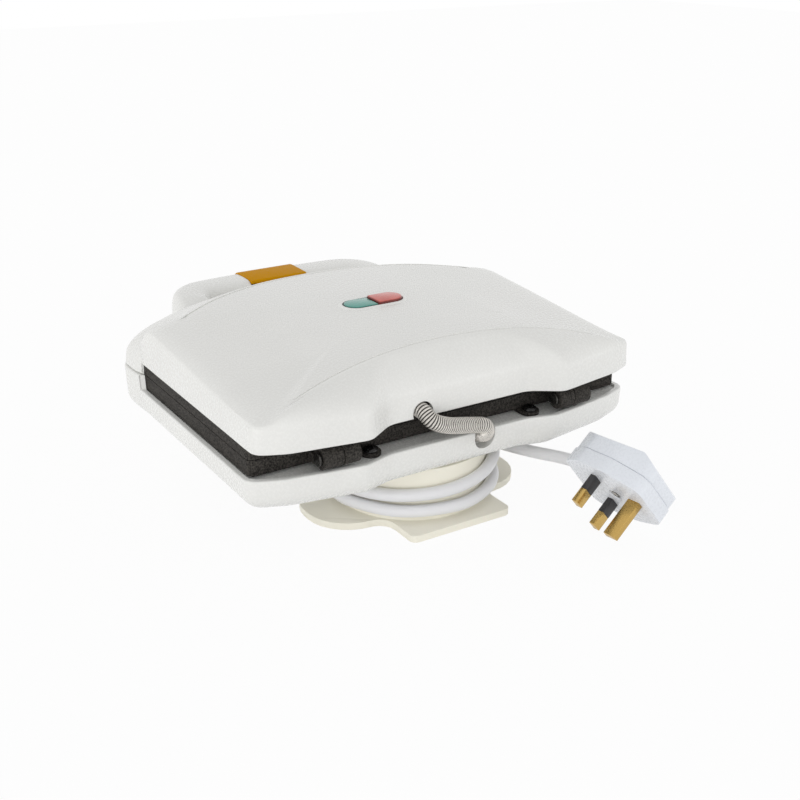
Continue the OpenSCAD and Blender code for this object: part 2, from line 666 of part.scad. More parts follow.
module thermostat() {
    color("tan") translate([-30, plate_mid, upper_floor]) {
        cylinder(d = 20, h = 4, $fn = fn_round);
        translate([-7, -6, 3]) cube([14, 12, 2]);
    }
}
module thermal_fuse() {
    color("gold") translate([-30, plate_mid, lower_ceiling - 2.1]) rotate([0, 90, 0])
        cylinder(d = 4, h = 12, $fn = fn_round);
}
module terminal_block() {
    z = pan_bottom + casing_wall;
    color("ivory") translate([-16, nose_y + 18, z]) difference() {
        cube([32, 14, 10]);
        for (i = [0:2]) translate([5.5 + 10.5 * i, 7, 4]) cylinder(d = 4, h = 10, $fn = 32);
    }
}

// ---- cord store and feet ------------------------------------------------------

foot_mid = plate_back - 40;               // middle of the foot plate's lobes
tab_back = plate_back + 16.5;
drum_wall = 2.6;

module foot_outline() {
    lobe = foot_d / 2 - 2;
    half = [[0, tab_back], [tab_w / 2, tab_back]];
    a = [tab_w / 2, foot_mid + foot_d / 2];
    polygon(mirrored(concat(
        [[0, tab_back]], corner([0, tab_back], [tab_w / 2, tab_back], a, 4, 4),
        corner(half[1], a, [foot_w / 2, a[1]], 10, 5),
        corner(a, [foot_w / 2, a[1]], [foot_w / 2, foot_mid - foot_d / 2], lobe, 7),
        corner([foot_w / 2, a[1]], [foot_w / 2, foot_mid - foot_d / 2], [0, foot_mid - foot_d / 2], lobe, 7),
        [[0, foot_mid - foot_d / 2]])));
}

module cord_drum() {
    color("cornsilk") difference() {
        union() {
            linear_extrude(foot_t) foot_outline();
            translate([drum_c[0], drum_c[1], 0]) cylinder(d = drum_d, h = drum_top, $fn = 96);
        }
        translate([drum_c[0], drum_c[1], -cut])
            cylinder(d = drum_d - 2 * drum_wall, h = drum_top - drum_wall + cut, $fn = 96);
        for (a = [90, 210, 330]) translate([drum_c[0], drum_c[1], 0]) rotate([0, 0, a])
            translate([screw_ring, 0, 0]) cylinder(d = screw_d, h = drum_top + cut, $fn = 32);
    }
}
module drum_screws() {
    color("silver") for (a = [90, 210, 330]) translate([drum_c[0], drum_c[1], drum_top - drum_wall])
        rotate([0, 0, a]) translate([screw_ring, 0, 0]) rotate([180, 0, 0])
            screw(8, 2.4, drum_wall + seat + casing_wall, screw_d);
}
module foot_pads() {
    color("dimgray") for (s = [-1, 1]) translate([s * foot_x, foot_y, 0])
        cylinder(d1 = 15, d2 = 17, h = foot_pad_h, $fn = fn_round);
}

// ---- clip -----------------------------------------------------------------------

// Section of the clip in the Y-Z plane, latched: top, front and the hook below.
// Its top tilts down to the front by clip_drop, so that it lies level at rest.
module clip_section() {
    t = clip_t;
    top = parting_z + upper_grip_h + clip_rise;
    low = parting_z - lower_grip_h;
    f = grip_front - 0.2;
    back = [grip_back - 3, top];
    front = [f, top - clip_drop];
    toe = [f, low - 2.6];
    polygon(concat(
        [back - [0, t]], corner(back - [0, t], back, front, 1, 3), corner(back, front, toe, 9, 6),
        corner(front, toe, toe + [t, 0], 2, 3),
        [[f + t + hook_reach, low - 2.2], [f + t + hook_reach, low - 0.2], [f + t, low + 1.6]],
        corner([f + t, low], front + [t, -t], back - [0, t], 7, 6)));
}

module clip_at_rest() {
    translate([0, clip_pivot[0], clip_pivot[1]]) rotate([-clip_rest, 0, 0])
        translate([0, -clip_pivot[0], -clip_pivot[1]]) children();
}

module latch_clip() {
    color("goldenrod") clip_at_rest() difference() {
        union() {
            translate([-clip_w / 2, 0, 0]) rotate([90, 0, 90]) linear_extrude(clip_w) clip_section();
            for (s = [-1, 1]) translate([s * clip_ear_x - clip_ear_t / 2, clip_pivot[0], clip_pivot[1]]) {
                rotate([0, 90, 0]) cylinder(d = clip_ear_d, h = clip_ear_t, $fn = fn_round);
                translate([0, -clip_ear_d / 2, 0]) cube([clip_ear_t, clip_ear_d / 2 + 2, 4]);
            }
        }
        clip_bore(clip_pin_d + 2 * pin_clear);
    }
}
module clip_pin() { color("silver") clip_bore(clip_pin_d); }

// ---- pilot lamps ------------------------------------------------------------------

lens_top = crown_z + collar_h;
neon_x = 9;
module lens(s, rise) {
    translate([0, lamp_y, 0]) difference() {
        translate([0, 0, lens_top - lens_t]) pill(lens_l, lens_w, lens_t + rise);
        translate([s > 0 ? -lens_l : -0.2, -lens_w, lens_top - 10]) cube([lens_l + 0.2, 2 * lens_w, 20]);
    }
}
module green_lens() { color([0.35, 0.65, 0.6, 0.8]) lens(1, 0.4); }
module red_lens() { color([0.85, 0.35, 0.32, 0.8]) lens(-1, 1.4); }
module lamp_holder() {
    z = upper_floor + tray_h;
    color("white") translate([0, lamp_y, 0]) difference() {
        translate([0, 0, z]) pill(lens_l + 3, lens_w + 3, lens_top - lens_t - z);
        for (s = [-1, 1]) translate([s * neon_x, 0, z + 3]) cylinder(d = 8, h = 20, $fn = fn_round);
    }
}
module neon_lamps() {
    z = upper_floor + tray_h + 3;
    color("orange") for (s = [-1, 1]) translate([s * neon_x, lamp_y, z]) cylinder(d = 6, h = 5, $fn = fn_round);
}

// ---- conduit ------------------------------------------------------------------------

// Tube of diameter d along the path, with n sides.
function tangent(path, i) =
    unit(path[min(i + 1, len(path) - 1)] - path[max(i - 1, 0)]);
module tube(path, d, n) {
    rings = [for (i = [0:len(path) - 1])
        let (t = tangent(path, i), a = unit(cross(abs(t[2]) > 0.9 ? [1, 0, 0] : [0, 0, 1], t)), b = cross(t, a))
        [for (k = [0:n - 1]) path[i] + d / 2 * (cos(360 * k / n) * a + sin(360 * k / n) * b)]];
    skin(reversed(rings));
}
// Curve through the points p by cubic blending, m steps a span.
function smooth(p, m) =
    let (n = len(p) - 1)
    concat([for (i = [0:n - 1]) for (k = [0:m - 1])
        let (a = p[max(i - 1, 0)], b = p[i], c = p[i + 1], d = p[min(i + 2, n)], t = k / m)
        0.5 * (2 * b + t * (c - a) + t * t * (2 * a - 5 * b + 4 * c - d)
               + t * t * t * (3 * b - a - 3 * c + d))], [p[n]]);
conduit_route = concat(
    [for (y = [-11, -3]) [conduit_lid[0], conduit_y + y, conduit_lid[1]]],
    [for (p = [[21, 2, 7.5], [12, 3, 3.5], [-2, 3, 0.5], [-11, 3, -2], [-15, -1, -8.5]])
        [p[0], conduit_y + p[1], hinge_z + p[2]]],
    [for (y = [-8, -14]) [conduit_pan[0], conduit_y + y, conduit_pan[1]]]);
module wire_conduit() { color("silver") tube(smooth(conduit_route, 3), conduit_d, 12); }
module conduit_socket() {
    color("dimgray") translate([conduit_pan[0], plate_back + 2 * half_gap, conduit_pan[1]])
        rotate([-90, 0, 0]) difference() {
            cylinder(d = pan_notch_d - 2 * seat, h = 6, $fn = fn_round);
            translate([0, 0, -cut]) cylinder(d = conduit_d + 2 * seat, h = 6 + 2 * cut, $fn = fn_round);
        }
}

// ---- cord ---------------------------------------------------------------------------

coil_low = foot_t + 4;                    // lowest point of the lower turn
coil_h = 18;                              // two turns with a gap between them
coil_in = drum_d / 2 + seat;
module cord_winding() {
    color("white") translate([drum_c[0], drum_c[1], coil_low])
        rotate_extrude($fn = 96) translate([coil_in, 0]) square([cord_d, coil_h]);
}
cord_route = [
    [-51.5, 64, 22], [-52.1, 70, 22.4], [-52.9, 77, 22.9], [-54, 84, 23.4], [-55.3, 90, 23.9],
    [-57.2, 96.5, 24.4], [-59.6, 102.9, 24.8], [-62.3, 109.2, 25.2], [-65.1, 115.2, 25.6],
    [-67.6, 120.9, 25.9], [-69.5, 126.2, 26.1], [-70.9, 131.6, 26.3], [-71.7, 137, 26.6],
    [-72, 142, 26.9], [-72, 146.6, 27.1]
];
module cord_tail() { color("white") tube(cord_route, cord_d, 10); }

gland_l = 24;                             // tapered part of the strain relief
gland_top = pan_bottom + casing_wall + 2; // inside the pan
gland_turn = 216;                         // its heading, along the winding
gland_z = coil_low + coil_h + gland_d / 2 - 0.6;
module cord_gland() {
    color("white") translate([gland_root[0], gland_root[1], 0]) {
        translate([0, 0, gland_z]) rotate([0, 0, gland_turn]) rotate([0, 90, 0])
            cylinder(d1 = gland_d - 1.2, d2 = cord_d + 1, h = gland_l, $fn = fn_round);
        translate([0, 0, gland_z - gland_d / 2 + 0.6])
            cylinder(d = gland_d, h = gland_top - gland_z + gland_d / 2 - 0.6, $fn = fn_round);
    }
}

// ---- plug -----------------------------------------------------------------------------
// Own frame: pins point along +X from the face at x = 0, live and neutral lie
// at y = +-pin_pitch / 2, the earth pin is pin_pitch up +Z, the cord enters from -Z.

plug_place = [-66, 159.6, 22.3];
plug_turn = [-86, 37.5, 7];
plug_half = 25;                           // half width across live and neutral
plug_low = -19;                           // end of the body on the cord side
plug_high = 33;                           // end of the body beyond the earth pin
base_t = 9;
cover_t = 16;
sleeve_l = 9;
pin_core = 0.6;                           // sleeve wall
module in_plug() { translate(plug_place) rotate(plug_turn) children(); }

module plug_outline(d) {
    w = plug_half - d;
    lo = [[0, plug_low + d], [w - 6, plug_low + d], [w, plug_low + 12], [w - 1, 12],
          [w - 9, plug_high - d], [0, plug_high - d]];
    polygon(mirrored(concat([lo[0]], corner(lo[0], lo[1], lo[2], 5, 3), corner(lo[1], lo[2], lo[3], 8, 2),
        corner(lo[2], lo[3], lo[4], 20, 4), corner(lo[3], lo[4], lo[5], 9, 5), [lo[5]])));
}
module slab(x0, x1, d) {
    translate([x1, 0, 0]) rotate([0, -90, 0]) rotate([0, 0, -90]) linear_extrude(x1 - x0) plug_outline(d);
}
module pin_box(y, z, wy, wz, x0, x1) { translate([x0, y - wy / 2, z - wz / 2]) cube([x1 - x0, wy, wz]); }
module cord_hole(d) {
    translate([-base_t, 0, plug_low - 10]) cylinder(d = d, h = 24, $fn = fn_round);
}
fuse_at = [-4.6, 19.3, -10];

module plug_base() {
    color("aliceblue") in_plug() difference() {
        slab(-base_t, 0, 0);
        for (s = [-1, 1]) pin_box(s * pin_pitch / 2, 0, 6.4, 4.05, -base_t + 3, cut);
        pin_box(0, pin_pitch, 4.05, 8, -base_t + 3, cut);
        cord_hole(cord_d);
        translate(fuse_at) cylinder(d = 6.5, h = 25.6, $fn = 32);
        translate([-2.4, 0, 8]) rotate([0, 90, 0]) cylinder(d = 7.4, h = 4, $fn = 32);
        translate([-base_t - cut, 0, 8]) rotate([0, 90, 0]) cylinder(d = 3.6, h = base_t + cut, $fn = 32);
    }
}
module plug_cover() {
    r = 48;                               // of its back, across and along
    long = 2 * (plug_high - plug_low);
    color("aliceblue") in_plug() difference() {
        intersection() {
            slab(-base_t - cover_t, -base_t - seat, 0.6);
            translate([r - base_t - cover_t, 0, plug_low - cut]) cylinder(r = r, h = long, $fn = 128);
            translate([r - base_t - cover_t, long / 2, 4]) rotate([90, 0, 0]) cylinder(r = r, h = long, $fn = 128);
        }
        cord_hole(cord_d);
        translate([-base_t - 6, 0, 8]) rotate([0, 90, 0]) cylinder(d = 3.6, h = 9, $fn = 32);
    }
}
module plug_pins() {
    color("gold") in_plug() {
        for (s = [-1, 1]) {
            pin_box(s * pin_pitch / 2, 0, 6.35 - 2 * pin_core, 4 - 2 * pin_core, -4, sleeve_l);
            pin_box(s * pin_pitch / 2, 0, 6.35, 4, sleeve_l, 17.7);
        }
        pin_box(0, pin_pitch, 4, 7.95, -4, 22.7);
    }
}
module pin_sleeves() {
    color("black") in_plug() for (s = [-1, 1]) difference() {
        pin_box(s * pin_pitch / 2, 0, 6.35, 4, -2, sleeve_l);
        pin_box(s * pin_pitch / 2, 0, 6.35 - 2 * pin_core, 4 - 2 * pin_core, -3, sleeve_l + cut);
    }
}
module plug_fuse() {
    color("white") in_plug() translate([fuse_at[0], fuse_at[1], fuse_at[2] + 0.1])
        cylinder(d = 6.3, h = 25.4, $fn = 32);
}
module plug_screw() {
    color("silver") in_plug() translate([-2.4, 0, 8]) rotate([0, 90, 0]) screw(7, 2, 12, 3.4);
}

lower_casing();
cord_drum();
drum_screws();
foot_pads();
lower_plate();
plate_screws();
lower_heater();
lower_reflector();
thermal_fuse();
terminal_block();
hinge_pins();
cord_gland();
conduit_socket();
upper_casing();
upper_plate();
lid_screws();
upper_heater();
upper_reflector();
thermostat();
lamp_holder();
neon_lamps();
green_lens();
red_lens();
clip_pin();
latch_clip();
wire_conduit();
cord_winding();
cord_tail();
plug_base();
plug_cover();
plug_pins();
pin_sleeves();
plug_fuse();
plug_screw();
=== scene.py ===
import bmesh
import bpy
import json
import math
from mathutils import Matrix, Vector

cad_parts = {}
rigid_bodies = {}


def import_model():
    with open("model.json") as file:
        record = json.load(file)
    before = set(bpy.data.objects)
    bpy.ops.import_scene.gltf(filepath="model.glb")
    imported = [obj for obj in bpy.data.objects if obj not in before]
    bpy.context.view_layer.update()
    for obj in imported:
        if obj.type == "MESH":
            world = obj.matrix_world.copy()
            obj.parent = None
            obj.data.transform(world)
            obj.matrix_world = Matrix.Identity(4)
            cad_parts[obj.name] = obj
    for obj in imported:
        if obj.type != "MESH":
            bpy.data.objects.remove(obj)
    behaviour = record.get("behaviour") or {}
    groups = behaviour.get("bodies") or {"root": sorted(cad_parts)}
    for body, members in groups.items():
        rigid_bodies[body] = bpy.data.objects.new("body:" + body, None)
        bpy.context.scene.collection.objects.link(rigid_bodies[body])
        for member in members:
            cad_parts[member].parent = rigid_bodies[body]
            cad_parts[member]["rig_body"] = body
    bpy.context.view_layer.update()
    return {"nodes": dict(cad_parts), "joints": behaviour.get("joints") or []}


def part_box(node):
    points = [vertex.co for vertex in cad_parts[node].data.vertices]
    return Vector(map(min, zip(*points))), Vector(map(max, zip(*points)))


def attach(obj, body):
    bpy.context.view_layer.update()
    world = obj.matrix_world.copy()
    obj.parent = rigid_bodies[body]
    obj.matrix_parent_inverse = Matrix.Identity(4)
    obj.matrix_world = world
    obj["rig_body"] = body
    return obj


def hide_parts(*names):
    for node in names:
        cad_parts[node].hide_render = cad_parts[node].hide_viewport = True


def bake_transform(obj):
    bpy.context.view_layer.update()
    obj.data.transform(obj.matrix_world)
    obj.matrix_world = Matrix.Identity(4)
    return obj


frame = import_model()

MM = 0.001  # shapes are worked out in millimetres, and scaled as they go into Blender

# ---- sizes from the frame -------------------------------------------------


def box_mm(node):
    """Lowest and highest corner of a CAD node."""
    low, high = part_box(node)
    return low / MM, high / MM


def axis_mm(joint):
    """Where a joint's axis crosses the Y-Z plane."""
    place = next(j for j in frame["joints"] if j["name"] == joint)["pos_m"]
    return place[1] / MM, place[2] / MM


HINGE_Y, HINGE_Z = axis_mm("lid_hinge")
CLIP_Y, CLIP_Z = axis_mm("latch_pivot")
PLATE_HALF = box_mm("lower_plate")[1].x
PLATE_FRONT = box_mm("lower_plate")[0].y
HALF_GAP = 0.4  # between the two casings, and round the plates and the clip
LOWER_TOP = box_mm("lower_casing")[1].z
PARTING = LOWER_TOP + HALF_GAP / 2
UPPER_BOTTOM = box_mm("upper_casing")[0].z
PLATE_BACK = HINGE_Y - 12
CROWN_Z = PARTING + 41  # top of the lid
HALF_W = PLATE_HALF + 1.5  # half width of the lid
LID_LOBE = PLATE_BACK + 22.4  # back of the lid over the hinges
LID_RECESS = LID_LOBE - 10  # and between them
PLATE_MID = (PLATE_BACK + PLATE_FRONT) / 2
LID_EDGE = UPPER_BOTTOM + 6.6  # lower edge of the lid, above the plates' open edges
RIM_Z = LOWER_TOP - 8.6  # upper edge of the pan, below them
PAN_BOTTOM = RIM_Z - 20
WALL, WALL_LEAN = 2.4, 0.6  # thickness of the walls, and how far they lean in
DECK_DROP = 1.6  # from a casing's rim to the deck round its plate
NOSE_Y = PLATE_FRONT - 35
CLOSED_Y = PLATE_FRONT + 2  # the casings meet in front of it
PLAN_BREAK = 0.8  # between the end of the side and the start of the nose
GRIP_FRONT = NOSE_Y - 51.4
GRIP_BACK = GRIP_FRONT + 32
ROOT_Y = NOSE_Y + 8
CLIP_W, CLIP_T, CLIP_RISE = 40, 2.4, 0.7
CLIP_REST = math.radians(6.5)  # turn of the clip at rest from where it holds
CLIP_DROP = (CLIP_Y - GRIP_FRONT) * math.tan(CLIP_REST)
LAMP_Y = PLATE_BACK - 78.3
GRIP_TOP = PARTING + 25.5
GRIP_LOW = PARTING - 21
HANDLE_HALF = 80
LID_CENTRE = Vector((0, PLATE_MID - 6))

EPS = 1e-6  # least length of a spline's span
TINY = 0.01  # lengths under this count as nothing
MISSED = 99  # share of a ray at which it would meet what it misses

# ---- curves and meshes ------------------------------------------------------


def clamp(x):
    return max(0, min(1, x))


def corner(a, b, c, r, n):
    """Arc of radius r that rounds the corner b of the path a-b-c, in n steps."""
    u, v = (a - b).normalized(), (c - b).normalized()
    half = math.acos(u.dot(v)) / 2
    m = b + (u + v).normalized() * (r / math.sin(half))
    p, q = b + u * (r / math.tan(half)), b + v * (r / math.tan(half))
    a0 = math.atan2(p.y - m.y, p.x - m.x)
    turn = (math.atan2(q.y - m.y, q.x - m.x) - a0 + math.pi) % (2 * math.pi) - math.pi
    angles = [a0 + turn * i / n for i in range(n + 1)]
    return [m + Vector((math.cos(angle), math.sin(angle))) * r for angle in angles]


def between(a, b, n):
    """The n points that divide a-b evenly, without its ends."""
    return [a.lerp(b, i / (n + 1)) for i in range(1, n + 1)]


def knots(points, m):
    """Spans of a path, each with the shares of it that divide it into m steps."""
    spans = len(points) - 1
    return [(i, k / m) for i in range(spans) for k in range(m)] + [(spans - 1, 1.0)]


def spline(points, m):
    """Smooth curve through the points, m steps a span, with no overshoot at short spans."""
    out = []
    for i, t in knots(points, m):
        b, c = points[i], points[i + 1]
        a = points[i - 1] if i else b + (b - c)
        d = points[i + 2] if i + 2 < len(points) else c + (c - b)
        t0, t1 = 0.0, max((b - a).length, EPS) ** 0.5
        t2 = t1 + max((c - b).length, EPS) ** 0.5
        t3 = t2 + max((d - c).length, EPS) ** 0.5
        s = t1 + t * (t2 - t1)
        a1 = a.lerp(b, (s - t0) / (t1 - t0))
        a2 = b.lerp(c, (s - t1) / (t2 - t1))
        a3 = c.lerp(d, (s - t2) / (t3 - t2))
        b1 = a1.lerp(a2, (s - t0) / (t2 - t0))
        b2 = a2.lerp(a3, (s - t1) / (t3 - t1))
        out.append(b1.lerp(b2, (s - t1) / (t2 - t1)))
    return out


def mirrored(half):
    """A closed plan from its half on the side where x is positive."""
    return half + [Vector((-p.x, p.y)) for p in reversed(half) if p.x > TINY]


def inset(ring, d):
    """Inward offset of a closed ring of plan points."""
    out = []
    for i, p in enumerate(ring):
        t = (ring[(i + 1) % len(ring)] - ring[i - 1]).normalized()
        out.append(p + Vector((t.y, -t.x)) * d)
    return out


def new_mesh(name, points, faces, body):
    """A piece from points in millimetres, with faces turned outwards, on a body if one is named."""
    mesh = bpy.data.meshes.new(name)
    mesh.from_pydata([Vector(p) * MM for p in points], [], faces)
    bm = bmesh.new()
    bm.from_mesh(mesh)
    bmesh.ops.recalc_face_normals(bm, faces=bm.faces)
    bm.to_mesh(mesh)
    bm.free()
    piece = bpy.data.objects.new(name, mesh)
    bpy.context.scene.collection.objects.link(piece)
    if body:
        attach(piece, body)
    return piece


def skin(name, rings, body=None):
    """Closed surface over a stack of rings with equal numbers of points."""
    n = len(rings[0])
    faces = []
    for k in range(len(rings) - 1):
        for i in range(n):
            j = (i + 1) % n
            faces.append((k * n + i, k * n + j, (k + 1) * n + j, (k + 1) * n + i))
    points = [p for ring in rings for p in ring]
    for ring, start in ((rings[0], 0), (rings[-1], (len(rings) - 1) * n)):
        middle = len(points)
        points.append(sum((Vector(p) for p in ring), Vector((0, 0, 0))) / n)
        faces += [(start + i, start + (i + 1) % n, middle) for i in range(n)]
    return new_mesh(name, points, faces, body)


def prism(name, outline, low, high, at=None):
    """Cutter: a plan outline from low to high, or placed by the matrix at."""
    n = len(outline)
    points = [Vector((p[0], p[1], z)) for z in (low, high) for p in outline]
    if at:
        points = [at @ p for p in points]
    faces = [tuple(range(n)), tuple(range(2 * n - 1, n - 1, -1))]
    faces += [(i, (i + 1) % n, n + (i + 1) % n, n + i) for i in range(n)]
    return new_mesh(name, points, faces, None)


def disc(r, n=48, x=0.0, y=0.0):
    angles = [2 * math.pi * i / n for i in range(n)]
    return [(x + r * math.cos(a), y + r * math.sin(a)) for a in angles]


def rectangle(x0, x1, y0, y1):
    return [(x0, y0), (x1, y0), (x1, y1), (x0, y1)]


def pill(length, width, n=20):
    """Outline with half-round ends of n steps each."""
    r, c = width / 2, (length - width) / 2
    angles = [math.pi * i / n for i in range(n + 1)]
    right = [(c + r * math.sin(a), r * math.cos(a)) for a in angles]
    return right + [(-x, -y) for x, y in right]


def apply_modifiers(piece):
    bpy.context.view_layer.update()
    shown = piece.evaluated_get(bpy.context.evaluated_depsgraph_get())
    done = bpy.data.meshes.new_from_object(shown)
    piece.modifiers.clear()
    piece.data = done


def combine(piece, others, how):
    """Joins the others to the piece, or cuts them out of it, and deletes them."""
    for other in others:
        step = piece.modifiers.new(how, "BOOLEAN")
        step.operation = how
        step.solver = "EXACT"
        step.object = other
        apply_modifiers(piece)
        bpy.data.objects.remove(other)


def shade(piece, angle=34):
    """Smooth shading that keeps edges sharper than the angle, in degrees."""
    for face in piece.data.polygons:
        face.use_smooth = True
    piece.data.set_sharp_from_angle(angle=math.radians(angle))


def dress(piece, material):
    """Gives a piece its material in Blender."""
    piece.data.materials.clear()
    piece.data.materials.append(material)
    return piece


FLAT, EDGE = math.radians(1), math.radians(40)  # bends under FLAT are dissolved, over EDGE eased


def eased(node, name, width, material, segments=2):
    """A CAD node's form with its edges eased, which then stands for the node."""
    source = frame["nodes"][node]
    mesh = source.data.copy()
    bm = bmesh.new()
    bm.from_mesh(mesh)
    bmesh.ops.remove_doubles(bm, verts=bm.verts, dist=TINY * MM)
    bmesh.ops.dissolve_limit(bm, angle_limit=FLAT, verts=bm.verts, edges=bm.edges)
    bm.to_mesh(mesh)
    bm.free()
    piece = bpy.data.objects.new(name, mesh)
    bpy.context.scene.collection.objects.link(piece)
    ease = piece.modifiers.new("ease", "BEVEL")
    ease.width = width * MM
    ease.segments = segments
    ease.limit_method = "ANGLE"
    ease.angle_limit = EDGE
    apply_modifiers(piece)
    shade(piece)
    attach(piece, source["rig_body"])
    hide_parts(node)
    return dress(piece, material)


# ---- camera, at the photograph's viewing angle --------------------------------

VIEW_TURN, VIEW_RISE = math.radians(148), math.radians(22.36)
VIEW_PLACE, VIEW_LENS = (0.3342, 0.5910, 0.3128), 53.55
camera_data = bpy.data.cameras.new("camera")
camera_data.lens = VIEW_LENS
camera = bpy.data.objects.new("camera", camera_data)
bpy.context.scene.collection.objects.link(camera)
camera.location = VIEW_PLACE
level = math.cos(VIEW_RISE)
back = Vector((math.sin(VIEW_TURN) * level, -math.cos(VIEW_TURN) * level, math.sin(VIEW_RISE)))
camera.rotation_euler = back.to_track_quat("Z", "Y").to_euler()
bpy.context.scene.camera = camera

# ---- materials ----------------------------------------------------------------
# Scales of noise are per metre, and depths of grain in millimetres.


def material_nodes(name):
    material = bpy.data.materials.new(name)
    material.use_nodes = True
    nodes, links = material.node_tree.nodes, material.node_tree.links
    return material, nodes, links, nodes["Principled BSDF"]


def noise(nodes, links, scale, detail=3.0):
    place = nodes.new("ShaderNodeTexCoord")
    texture = nodes.new("ShaderNodeTexNoise")
    texture.inputs["Scale"].default_value = scale
    texture.inputs["Detail"].default_value = detail
    links.new(place.outputs["Object"], texture.inputs["Vector"])
    return texture.outputs["Fac"]


def spread(nodes, links, value, low, high, start=0.3, end=0.7):
    """Values from start to end, where most noise lies, stretched over low to high."""
    node = nodes.new("ShaderNodeMapRange")
    node.inputs["From Min"].default_value = start
    node.inputs["From Max"].default_value = end
    node.inputs["To Min"].default_value = low
    node.inputs["To Max"].default_value = high
    links.new(value, node.inputs["Value"])
    return node.outputs["Result"]


def tint(nodes, links, value, dark, light):
    node = nodes.new("ShaderNodeMix")
    node.data_type = "RGBA"
    node.inputs["A"].default_value = (*dark, 1)
    node.inputs["B"].default_value = (*light, 1)
    links.new(value, node.inputs["Factor"])
    return node.outputs["Result"]


def bump(nodes, links, shader, value, depth):
    node = nodes.new("ShaderNodeBump")
    node.inputs["Strength"].default_value = 1.0
    node.inputs["Distance"].default_value = depth * MM
    links.new(value, node.inputs["Height"])
    links.new(node.outputs["Normal"], shader.inputs["Normal"])


def calculated(nodes, links, how, a, b):
    node = nodes.new("ShaderNodeMath")
    node.operation = how
    links.new(a, node.inputs[0])
    links.new(b, node.inputs[1])
    return node.outputs["Value"]


def grained(nodes, links, shader, scale, depth, rough, detail=3.0):
    """Fine grain in the surface, which its gloss follows. Returns the grain."""
    grains = noise(nodes, links, scale, detail)
    links.new(spread(nodes, links, grains, *rough), shader.inputs["Roughness"])
    bump(nodes, links, shader, grains, depth)
    return grains


def finish_of(name, dark, light, rough, grain, depth, patch=18, soft=0.2, metal=0.0, specular=0.5):
    """A surface whose colour drifts in patches over a fine moulded or cast grain.

    grain and patch are scales of noise, and a smaller soft gives the patches harder edges.
    """
    material, nodes, links, shader = material_nodes(name)
    patches = spread(nodes, links, noise(nodes, links, patch), 0, 1, 0.5 - soft, 0.5 + soft)
    links.new(tint(nodes, links, patches, dark, light), shader.inputs["Base Color"])
    grained(nodes, links, shader, grain, depth, rough, detail=4.0)
    shader.inputs["Metallic"].default_value = metal
    shader.inputs["Specular IOR Level"].default_value = specular
    return material


def ribbed_finish(name, groove, crest):
    """A dull metallic sleeve, with painted shade in the grooves that the attribute "rib" marks."""
    material, nodes, links, shader = material_nodes(name)
    rib = nodes.new("ShaderNodeAttribute")
    rib.attribute_name = "rib"
    grains = grained(nodes, links, shader, 1200, 0.005, (0.25, 0.4))
    # Painted shade: the groove colour in the grooves, the crest colour on the crests.
    height = spread(nodes, links, rib.outputs["Fac"], 0, 1, 0.1, 0.6)
    worn = spread(nodes, links, grains, 0.85, 1)
    total = calculated(nodes, links, "MULTIPLY", height, worn)
    links.new(tint(nodes, links, total, groove, crest), shader.inputs["Base Color"])
    shader.inputs["Metallic"].default_value = 0.55
    return material


def lens_finish(name, shaded_side_colour, lit_top_colour, top):
    """A translucent lens with painted shade down its sides and a painted lighter top, its colour set by
    height.
    """
    material, nodes, links, shader = material_nodes(name)
    place = nodes.new("ShaderNodeTexCoord")
    split = nodes.new("ShaderNodeSeparateXYZ")
    links.new(place.outputs["Object"], split.inputs["Vector"])
    low, high = (top - 0.5) * MM, (top - 0.05) * MM
    # Painted light by height: the lit colour at the top, painted shade below it.
    height = spread(nodes, links, split.outputs["Z"], 0, 0.8, low, high)
    cloud = spread(nodes, links, noise(nodes, links, 120), 0, 0.2)
    total = calculated(nodes, links, "ADD", height, cloud)
    links.new(tint(nodes, links, total, shaded_side_colour, lit_top_colour), shader.inputs["Base Color"])
    grained(nodes, links, shader, 700, 0.003, (0.1, 0.2))
    shader.inputs["Specular IOR Level"].default_value = 0.3
    shader.inputs["Coat Weight"].default_value = 0.15
    shader.inputs["Coat Roughness"].default_value = 0.05
    return material


# Each finish: darker and lighter colour, least and most roughness, scale and depth of the grain.
WHITE = finish_of("white_plastic", (0.80, 0.80, 0.775), (0.83, 0.83, 0.805), (0.24, 0.3), 700, 0.0012,
                  specular=0.4)
IVORY = finish_of("ivory_plastic", (0.91, 0.88, 0.76), (0.94, 0.91, 0.80), (0.4, 0.5), 900, 0.004)
CAST = finish_of("cast_plate", (0.012, 0.011, 0.010), (0.070, 0.064, 0.057), (0.55, 0.8), 1100, 0.3,
                 patch=1150, soft=0.14, specular=0.12)
YELLOW = finish_of("clip_plastic", (0.57, 0.26, 0.001), (0.61, 0.28, 0.002), (0.42, 0.5), 700, 0.002,
                   specular=0.03)
BLACK = finish_of("black_steel", (0.008, 0.008, 0.008), (0.014, 0.013, 0.013), (0.15, 0.3), 900, 0.006,
                  metal=0.4)
STEEL = finish_of("steel", (0.52, 0.51, 0.49), (0.60, 0.59, 0.57), (0.25, 0.4), 1200, 0.01, metal=1.0)
BRASS = finish_of("brass", (0.49, 0.31, 0.09), (0.58, 0.39, 0.13), (0.2, 0.32), 1200, 0.008, metal=1.0)
RUBBER = finish_of("rubber", (0.03, 0.03, 0.03), (0.05, 0.05, 0.05), (0.7, 0.85), 1500, 0.03)
CORD = finish_of("cord_pvc", (0.80, 0.80, 0.815), (0.84, 0.84, 0.855), (0.3, 0.4), 700, 0.006)
PLUG = finish_of("plug_plastic", (0.77, 0.80, 0.85), (0.81, 0.84, 0.89), (0.24, 0.32), 700, 0.0015)
SLEEVE = finish_of("sleeve", (0.02, 0.018, 0.02), (0.035, 0.033, 0.035), (0.3, 0.4), 900, 0.004)
ALLOY = finish_of("reflector", (0.60, 0.60, 0.61), (0.68, 0.68, 0.69), (0.3, 0.45), 900, 0.01,
                  metal=1.0)
CERAMIC = finish_of("ceramic", (0.70, 0.66, 0.58), (0.76, 0.72, 0.65), (0.5, 0.6), 900, 0.01)
